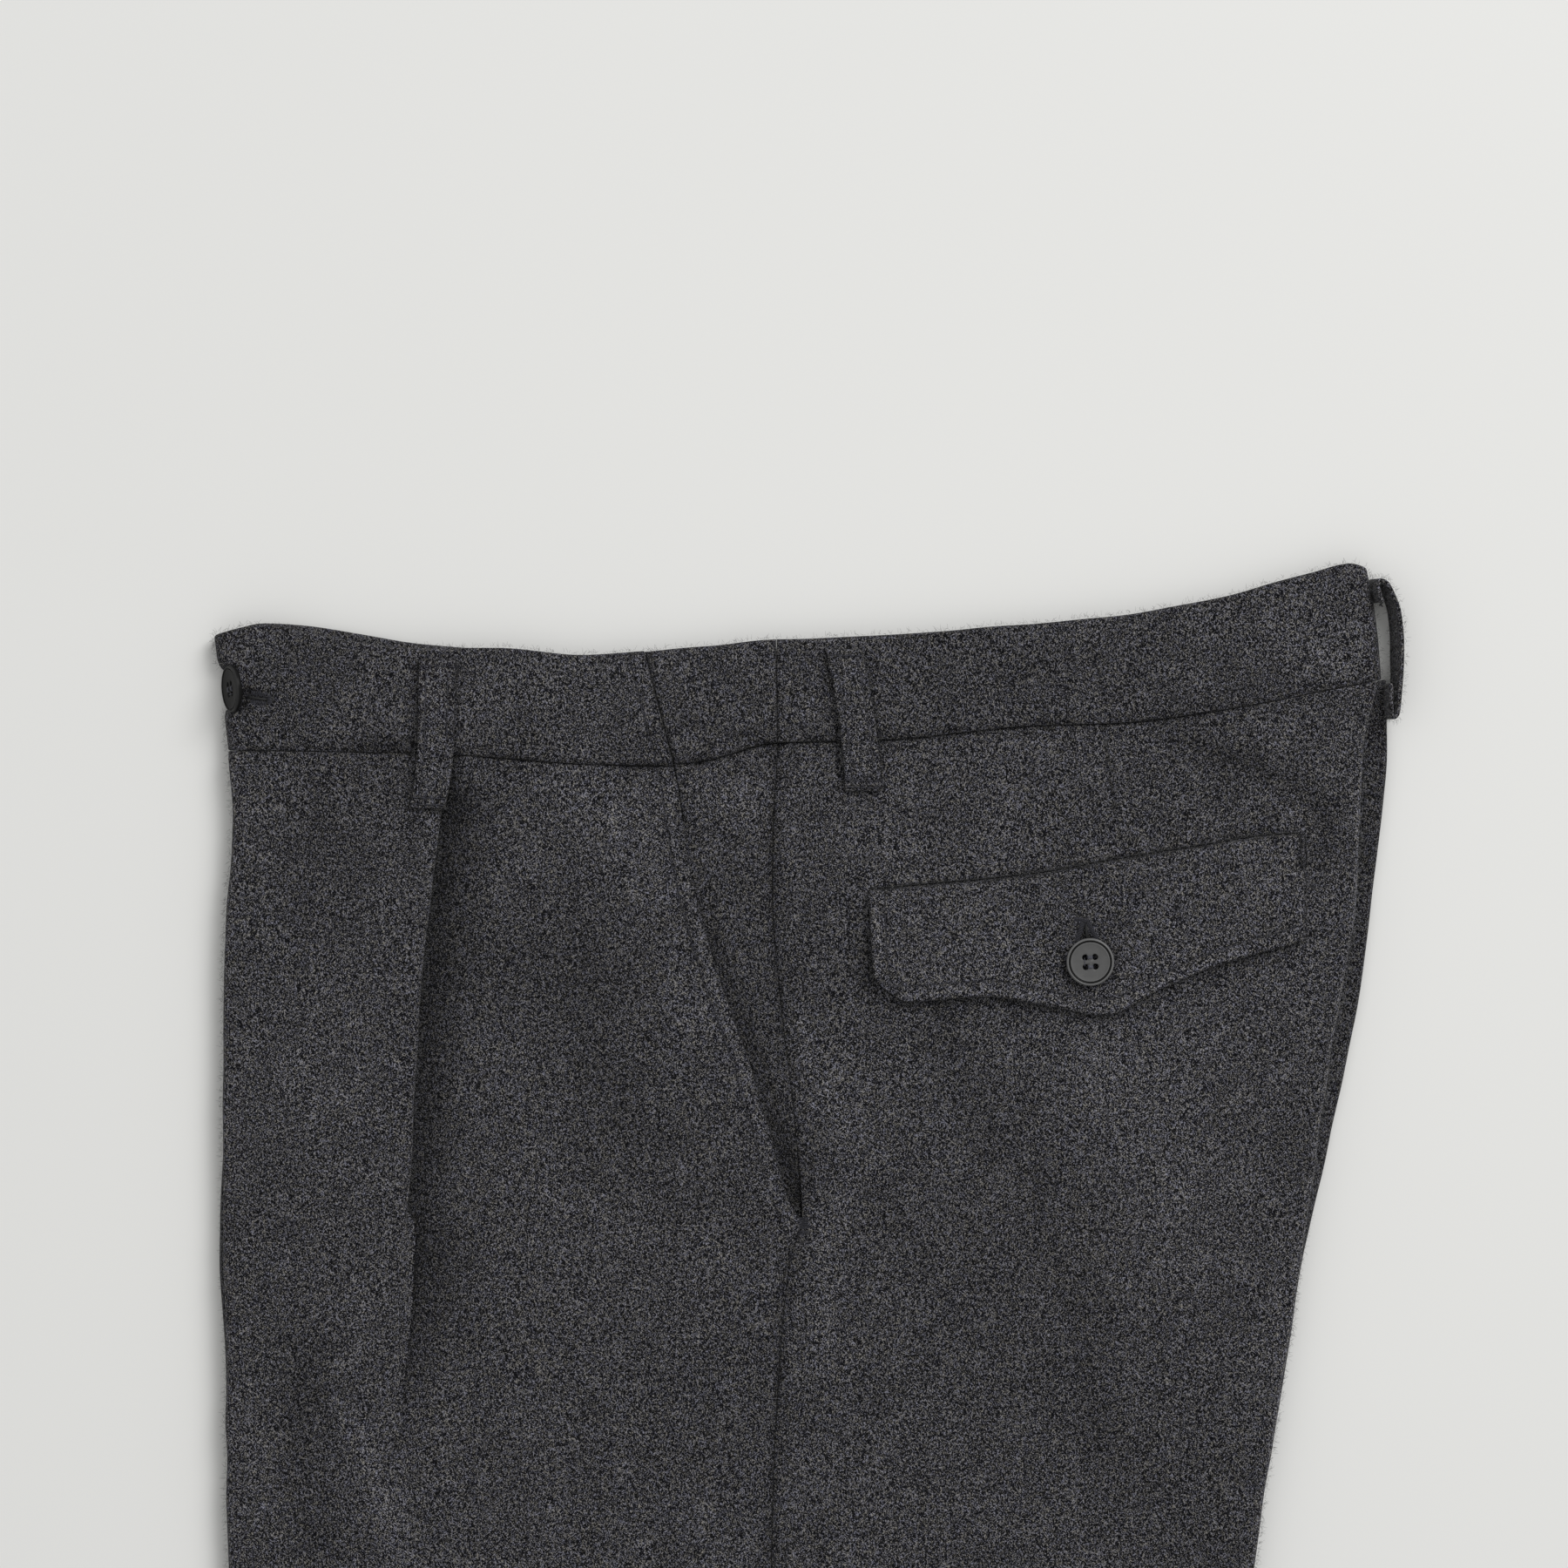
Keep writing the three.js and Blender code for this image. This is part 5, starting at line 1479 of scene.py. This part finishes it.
# ---------------------------------------------------------------- buttons
BUTTON_PROFILE = [
    (0, 0), (6.6, 0), (7.2, 0.15), (7.62, 0.5), (7.84, 1.0), (7.85, 1.5), (7.76, 1.9), (7.6, 2.15),
    (7.4, 2.28), (7.22, 2.3), (7.08, 2.22), (6.98, 2.0), (6.86, 1.8), (6.7, 1.72), (6.56, 1.78),
    (6.46, 1.98), (6.38, 2.12), (6.26, 2.14), (6.1, 2.08), (5, 2.0), (3.4, 1.95), (0, 1.93),
]
HOLE = {"x": 1.62, "y": 1.58, "radius": 1.0, "sides": 24}
DRILL_Z = (-1.0, 4.0)
BUTTON_SIDES = 96
BUNDLE = {"places": (-0.36, -0.12, 0.12, 0.36), "narrow": 0.8, "spread": 0.5, "radius": 0.17, "reach": 0.95}
SINGLE = {"aside": 0.2, "radius": 0.13, "lower": 0.05}
ARCH = {"height": 2.15, "drop": 1.5}
FLAP_BUTTON_TURN, WAIST_BUTTON_TURN = math.radians(3.3), math.radians(98)


def button_mesh(material):
    """A turned disc with a grooved rim and four holes."""
    profile = np.array(BUTTON_PROFILE)
    angle = np.arange(BUTTON_SIDES) * 2 * math.pi / BUTTON_SIDES
    inner = profile[1:-1]
    across = [np.outer(inner[:, 0], turn(angle)) for turn in (np.cos, np.sin)]
    rings = np.stack([*across, np.repeat(inner[:, 1:], BUTTON_SIDES, 1)], -1)
    points = np.concatenate([rings.reshape(-1, 3), [[0, 0, profile[0, 1]], [0, 0, profile[-1, 1]]]])
    number = np.arange(len(inner) * BUTTON_SIDES).reshape(len(inner), BUTTON_SIDES)
    ahead = np.roll(number, -1, axis=1)
    walls = np.stack([number[:-1], ahead[:-1], ahead[1:], number[1:]], -1).reshape(-1, 4).tolist()
    below = [(len(points) - 2, b, a) for a, b in zip(number[0], ahead[0])]
    above = [(len(points) - 1, a, b) for a, b in zip(number[-1], ahead[-1])]
    body = mesh_object("button", points * MM, walls + below + above, material)
    centres = [(x, y) for x in (-HOLE["x"], HOLE["x"]) for y in (-HOLE["y"], HOLE["y"])]
    paths = np.array([[(x, y, z) for z in DRILL_Z] for x, y in centres])
    drill = tubes("drill", paths, np.full(paths.shape[:2], HOLE["radius"]), HOLE["sides"], material)
    cut = body.modifiers.new("holes", "BOOLEAN")
    cut.operation, cut.object, cut.solver = "DIFFERENCE", drill, "EXACT"
    bpy.context.view_layer.update()
    mesh = bpy.data.meshes.new_from_object(body.evaluated_get(bpy.context.evaluated_depsgraph_get()))
    for unused in (body, drill):
        bpy.data.objects.remove(unused)
    return mesh


def strands():
    """Thread through the holes: two flat bundles across, and one single thread down the left pair."""
    t = np.linspace(0, 1, 9)
    out = np.abs(2 * t - 1)
    arch = ARCH["height"] - ARCH["drop"] * out**6
    across = mix(-BUNDLE["reach"], BUNDLE["reach"], t)
    paths, radii = [], []
    spread = BUNDLE["narrow"] + BUNDLE["spread"] * out
    for y in (-HOLE["y"], HOLE["y"]):
        for beside in BUNDLE["places"]:
            paths.append(np.stack([across, y + beside * spread, arch], -1))
            radii.append(np.full(len(t), BUNDLE["radius"]))
    down = mix(-HOLE["y"], HOLE["y"], t)
    paths.append(np.stack([0 * t - HOLE["x"] - SINGLE["aside"], down, arch - SINGLE["lower"]], -1))
    radii.append(np.full(len(t), SINGLE["radius"]))
    return np.array(paths), np.array(radii)


def button(name, node, place, facing_way, turn, material):
    made = bpy.data.objects.new(name, button_mesh(material))
    bpy.context.scene.collection.objects.link(made)
    upright = (Vector((0, 1, 0)) - facing_way.y * facing_way).normalized()
    lean = Matrix((upright.cross(facing_way), upright, facing_way)).transposed().to_4x4()
    matrix = Matrix.Translation(place * MM) @ lean @ Matrix.Rotation(turn, 4, "Z")
    made.matrix_world = matrix
    sewn = tubes(f"{name}_thread", *strands(), 7, BUTTON_THREAD)
    sewn.matrix_world = matrix
    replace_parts(on_body(made), node)
    on_body(sewn)


button("flap_button_turned", "flap_button", FLAP_BUTTON, Vector((0, 0, 1)), FLAP_BUTTON_TURN, RESIN)
button(
    "waist_button_turned", "waist_button",
    WAIST_BUTTON_FOOT, WAIST_BUTTON_FACING, WAIST_BUTTON_TURN, SHADED_RESIN,
)


# ---------------------------------------------------------------- stitches
def surface_of(objects):
    points, faces = [], []
    for made in objects:
        mesh = made.data
        start = len(points)
        points += [tuple(v.co) for v in mesh.vertices]
        faces += [[start + i for i in p.vertices] for p in mesh.polygons]
    return BVHTree.FromPolygons(points, faces)


UPPER = [made for name, (made, _) in pieces.items() if not name.startswith(("right", "under"))]
SURFACE = surface_of(UPPER)
DOWN = Vector((0, 0, -1))
ABOVE = 60


def drop(x, y):
    """The height and the slope of the cloth that shows at a place, or None beside it."""
    place, normal, _, _ = SURFACE.ray_cast(Vector((x, y, ABOVE)) * MM, DOWN)
    return None if place is None else (place.z / MM, normal)


STITCH_POINTS = 6
STITCH_RISE = {"middle": 0.5, "ends": 1.9}  # in thread radii
LEAST_STITCH = 0.6  # share of a stitch's length that still makes one at a line's end


def stitch_lines(lines, length, gap, radius):
    """Stitches of a length along lines, which dip into the cloth at their ends."""
    paths, t = [], np.linspace(0, 1, STITCH_POINTS)
    rise = radius * (STITCH_RISE["middle"] - STITCH_RISE["ends"] * np.abs(2 * t - 1) ** 3)
    for line in lines:
        line = np.array(line, float)
        place = np.concatenate([[0], np.cumsum(np.linalg.norm(np.diff(line, axis=0), axis=1))])
        for start in np.arange(0, place[-1] - LEAST_STITCH * length, length + gap):
            at = np.minimum(start + t * length, place[-1])
            x, y = np.interp(at, place, line[:, 0]), np.interp(at, place, line[:, 1])
            found = [drop(*p) for p in zip(x, y)]
            if None not in found:
                paths.append(np.stack([x, y, np.array([f[0] for f in found]) + rise], -1))
    return paths


def satin(line, reach, pitch):
    """Short stitches side by side across a line."""
    (ax, ay), (bx, by) = line
    length = math.dist(*line)
    nx, ny = -(by - ay) / length * reach, (bx - ax) / length * reach
    across = []
    for t in np.arange(0, 1 + 1e-6, pitch / length):
        x, y = mix(ax, bx, t), mix(ay, by, t)
        across.append([(x - nx, y - ny), (x + nx, y + ny)])
    return across


def stitches(name, paths, radius, material=THREAD):
    paths = np.array(paths)
    on_body(tubes(name, paths, np.full(paths.shape[:2], radius), 6, material))


# Seams by machine, and the painted shadow in the buttonhole slits: stitch length, gap and thread radius
SEWN = {
    "pocket": (2.1, 0.6, 0.2),
    "pocket end": (4.4, 1, 0.2),
    "flap": (2.2, 0.6, 0.2),
    "flap seam": (2.6, 0.2, 0.28),
    "flap bars": (1.9, 0.2, 0.3),
    "loop": (2.0, 0.9, 0.18),
    "loop bars": (1.9, 0.35, 0.26),
    "buttonhole": (1.9, 1, 0.18),
    "slit": (8, 1, 0.45),
}
POCKET_LINE_Y = (497, 331)
POCKET_BAR = {"line": ((-1.6, 312.6), (-1.3, 307.4)), "reach": 2.3, "pitch": 0.55}
FLAP_SIDE_Y = (418, 392)
FLAP_SEAM_OFFSET = 0.5
FLAP_BARS = [[(161.2, 438.0), (161.6, 427.5)], [(163.0, 438.2), (163.5, 427.8)]]
LOOP_LINE_ROOM = {"top": 4, "foot": 5}
BAR_ROOM, BAR_LEAN = 0.6, 0.2

mouth_line_y = np.linspace(*POCKET_LINE_Y, 60)
pocket_line = np.stack([mouth_x(mouth_line_y) - TOPSTITCH, mouth_line_y], -1)
pocket_end = satin(**POCKET_BAR)
pocket = stitch_lines([pocket_line], *SEWN["pocket"]) + stitch_lines(pocket_end, *SEWN["pocket end"])
stitches("pocket_stitches", pocket, 0.2)

flap_x = np.linspace(FLAP_LEFT_X + FLAP_STITCH + 1, FLAP_RIGHT_X - 1, 90)
foot_line = np.stack([flap_x, read(FLAP_EDGE, "x", flap_x, "foot") + FLAP_STITCH], -1)
left_y = np.linspace(*FLAP_SIDE_Y, 14)
left_line = np.stack([read(FLAP_LEFT, "y", left_y, "x") + FLAP_STITCH, left_y], -1)
top_x = np.linspace(FLAP_LEFT_X, FLAP_RIGHT_X, 80)
top_line = np.stack([top_x, read(FLAP_EDGE, "x", top_x, "top") + FLAP_SEAM_OFFSET], -1)
stitches("flap_stitches", stitch_lines([foot_line, left_line], *SEWN["flap"]), 0.2)
stitches("flap_seam", stitch_lines([top_line], *SEWN["flap seam"]), 0.28, BLACK_THREAD_AND_SHADOW)
stitches("flap_end_bars", stitch_lines(FLAP_BARS, *SEWN["flap bars"]), 0.3, BLACK_THREAD_AND_SHADOW)

loop_lines, loop_bars = [], []
for rows in (FRONT_LOOP, SIDE_LOOP):
    top, foot = rows["y"].max(), rows["y"].min()
    ys = np.linspace(top - LOOP_LINE_ROOM["top"], foot + LOOP_LINE_ROOM["foot"], 20)
    for edge in (-1, 1):
        reach = edge * (LOOP_WIDTH / 2 - LOOP_ENDS["side"])
        loop_lines.append(np.stack([read(rows, "y", ys, "x") + reach, ys], -1))
    reach = LOOP_WIDTH / 2 - BAR_ROOM
    for y in (top - LOOP_ENDS["top"], foot + LOOP_ENDS["foot"], foot + LOOP_ENDS["foot inner"]):
        x = float(read(rows, "y", y, "x"))
        loop_bars.append([(x - reach, y + BAR_LEAN), (x + reach, y - BAR_LEAN)])
loop_paths = stitch_lines(loop_lines, *SEWN["loop"]) + stitch_lines(loop_bars, *SEWN["loop bars"])
stitches("loop_stitches", loop_paths, 0.25)

# Buttonholes: the slit shows beside the button, between rows of close stitches; near-black tubes along it
# are its painted shadow.
# The rows' lines, with the stitches' reach and pitch
HOLE_ROWS = [
    (((-182.5, 484.8), (-177.6, 484.0)), 0.8, 0.5),
    (((-182.5, 482.0), (-177.6, 481.1)), 0.8, 0.5),
    (((-176.9, 484.0), (-176.6, 481.2)), 0.8, 0.42),
    (((87.2, 410.6), (91.9, 410.0)), 0.7, 0.42),
    (((89.9, 409.4), (88.0, 403.5)), 0.9, 0.42),
    (((91.7, 409.4), (94.7, 403.5)), 0.9, 0.42),
]
# Lines along the slits, where near-black tubes are the opening's painted shadow
SLIT_SHADOWS = [[(-184.5, 483.6), (-177.3, 482.6)], [(91.4, 403.0), (90.9, 408.9)]]
edges = [stitch for row in HOLE_ROWS for stitch in satin(*row)]
stitches("buttonhole_stitches", stitch_lines(edges, *SEWN["buttonhole"]), 0.18)
# Near-black tubes along the slits: their painted shadow
stitches("buttonhole_slit_shadows", stitch_lines(SLIT_SHADOWS, *SEWN["slit"]), 0.45, BLACK_THREAD_AND_SHADOW)


# ---------------------------------------------------------------- nap and loose fibres
SHOWN = {"x": (-195, 194), "y": (194, 528)}  # where fibres are made: what the view shows
FIBRE_LENGTHS = {"lying": (1.2, 3.4), "standing": (0.5, 2.6)}
# What counts as an edge: its slope and height, and how far beside it nothing may lie higher
EDGE = {"slope": 0.75, "above": 2.5, "reach": 0.4}
TANGLE = {"fibres": 26, "spread": 0.35, "step": 0.3}


def curled(angles, length):
    """The way along a fibre whose direction is given at each point."""
    share = length / len(angles)
    return np.cumsum(np.cos(angles)) * share, np.cumsum(np.sin(angles)) * share


def scattered(count, seed):
    """Loose fibres that lie on the cloth that shows, in all directions."""
    random = np.random.default_rng(SEED + seed)
    t = np.linspace(0, 1, 4)
    paths = []
    while len(paths) < count:
        x, y = random.uniform(*SHOWN["x"]), random.uniform(*SHOWN["y"])
        length, angle = random.uniform(*FIBRE_LENGTHS["lying"]), random.uniform(0, 2 * math.pi)
        turn, rise = random.uniform(-2.4, 2.4), random.uniform(0.05, 0.3)
        found = drop(x, y)
        if found is None or found[1].z < 0.5:
            continue
        z, normal = found
        dx, dy = curled(angle + turn * t, length)
        dz = -(normal.x * dx + normal.y * dy) / normal.z + rise * np.sin(math.pi * t) + 0.02
        paths.append(np.stack([x + dx, y + dy, z + dz], -1))
    return paths


def standing(count, seed):
    """Short hairs that stand out of the cloth's folds and edges, where it turns away from view."""
    random = np.random.default_rng(SEED + seed)
    sides = []
    for made in UPPER:
        faces = len(made.data.polygons)
        centre, normal, area = np.empty(faces * 3), np.empty(faces * 3), np.empty(faces)
        for name, values in (("center", centre), ("normal", normal), ("area", area)):
            made.data.polygons.foreach_get(name, values)
        centre, normal = centre.reshape(-1, 3) / MM, normal.reshape(-1, 3)
        turned = (np.abs(normal[:, 2]) < EDGE["slope"]) & (centre[:, 2] > EDGE["above"])
        turned &= centre[:, 1] > SHOWN["y"][0]
        sides.append(np.column_stack([centre, normal, area])[turned])
    sides = np.concatenate(sides)
    chosen = random.choice(len(sides), 3 * count, p=sides[:, 6] / sides[:, 6].sum())
    t = np.linspace(0, 1, 3)
    paths = []
    for row in sides[chosen]:
        start, normal = row[:3], row[3:6]
        length = random.uniform(*FIBRE_LENGTHS["standing"])
        swing, droop = random.uniform(-0.9, 0.9), random.uniform(-0.5, 0.4)
        ahead = math.atan2(normal[1], normal[0]) + swing
        tip = start[:2] + EDGE["reach"] * np.array([math.cos(ahead), math.sin(ahead)])
        found = drop(*tip)
        if (found is not None and found[0] > start[2]) or len(paths) == count:
            continue
        dx, dy = curled(ahead + 0.8 * swing * t, length)
        paths.append(np.stack([start[0] + dx, start[1] + dy, start[2] + droop * t * length], -1))
    return paths


def lint(places, seed):
    """Small tangles of pale fibre."""
    random = np.random.default_rng(SEED + seed)
    t = np.linspace(0, 1, 4)
    paths = []
    for x, y in places:
        z = drop(x, y)[0]
        for _ in range(TANGLE["fibres"]):
            angle, turn = random.uniform(0, 2 * math.pi), random.uniform(-4, 4)
            cx, cy = random.normal(0, TANGLE["spread"], 2)
            dx, dy = curled(angle + turn * t, TANGLE["step"] * len(t))
            paths.append(np.stack([x + cx + dx, y + cy + dy, z + random.uniform(0.1, 0.6) + 0 * t], -1))
    return paths


def fibres(name, paths, radius):
    paths = np.array(paths)
    taper = np.linspace(1, 0.5, paths.shape[1])
    on_body(tubes(name, paths, radius * np.ones(len(paths))[:, None] * taper, 3, LOOSE_FIBRE))


LINT_PLACES = [(-68.0, 493.6), (97.2, 468.7), (-161.7, 305.8)]
THREAD_ENDS = [
    [(186.9, 515.2, 11.9), (187.3, 514.4, 12.2), (187.4, 513.6, 12.0), (188.0, 513.1, 11.8)],
    [(187.6, 515.0, 11.9), (187.9, 514.3, 12.1), (187.5, 513.9, 12.2), (186.9, 513.4, 12.0)],
]
fibres("surface_fibres", scattered(5200, 71), 0.055)
fibres("edge_fibres", standing(6500, 72), 0.045)
fibres("lint_specks", lint(LINT_PLACES, 73), 0.07)
stitches("loop_thread_ends", THREAD_ENDS, 0.22, BLACK_THREAD_AND_SHADOW)

# ---------------------------------------------------------------- the cloth's flat cuts
for name, (made, (width, length, area)) in pieces.items():
    area = None if area is None else area * MM * MM
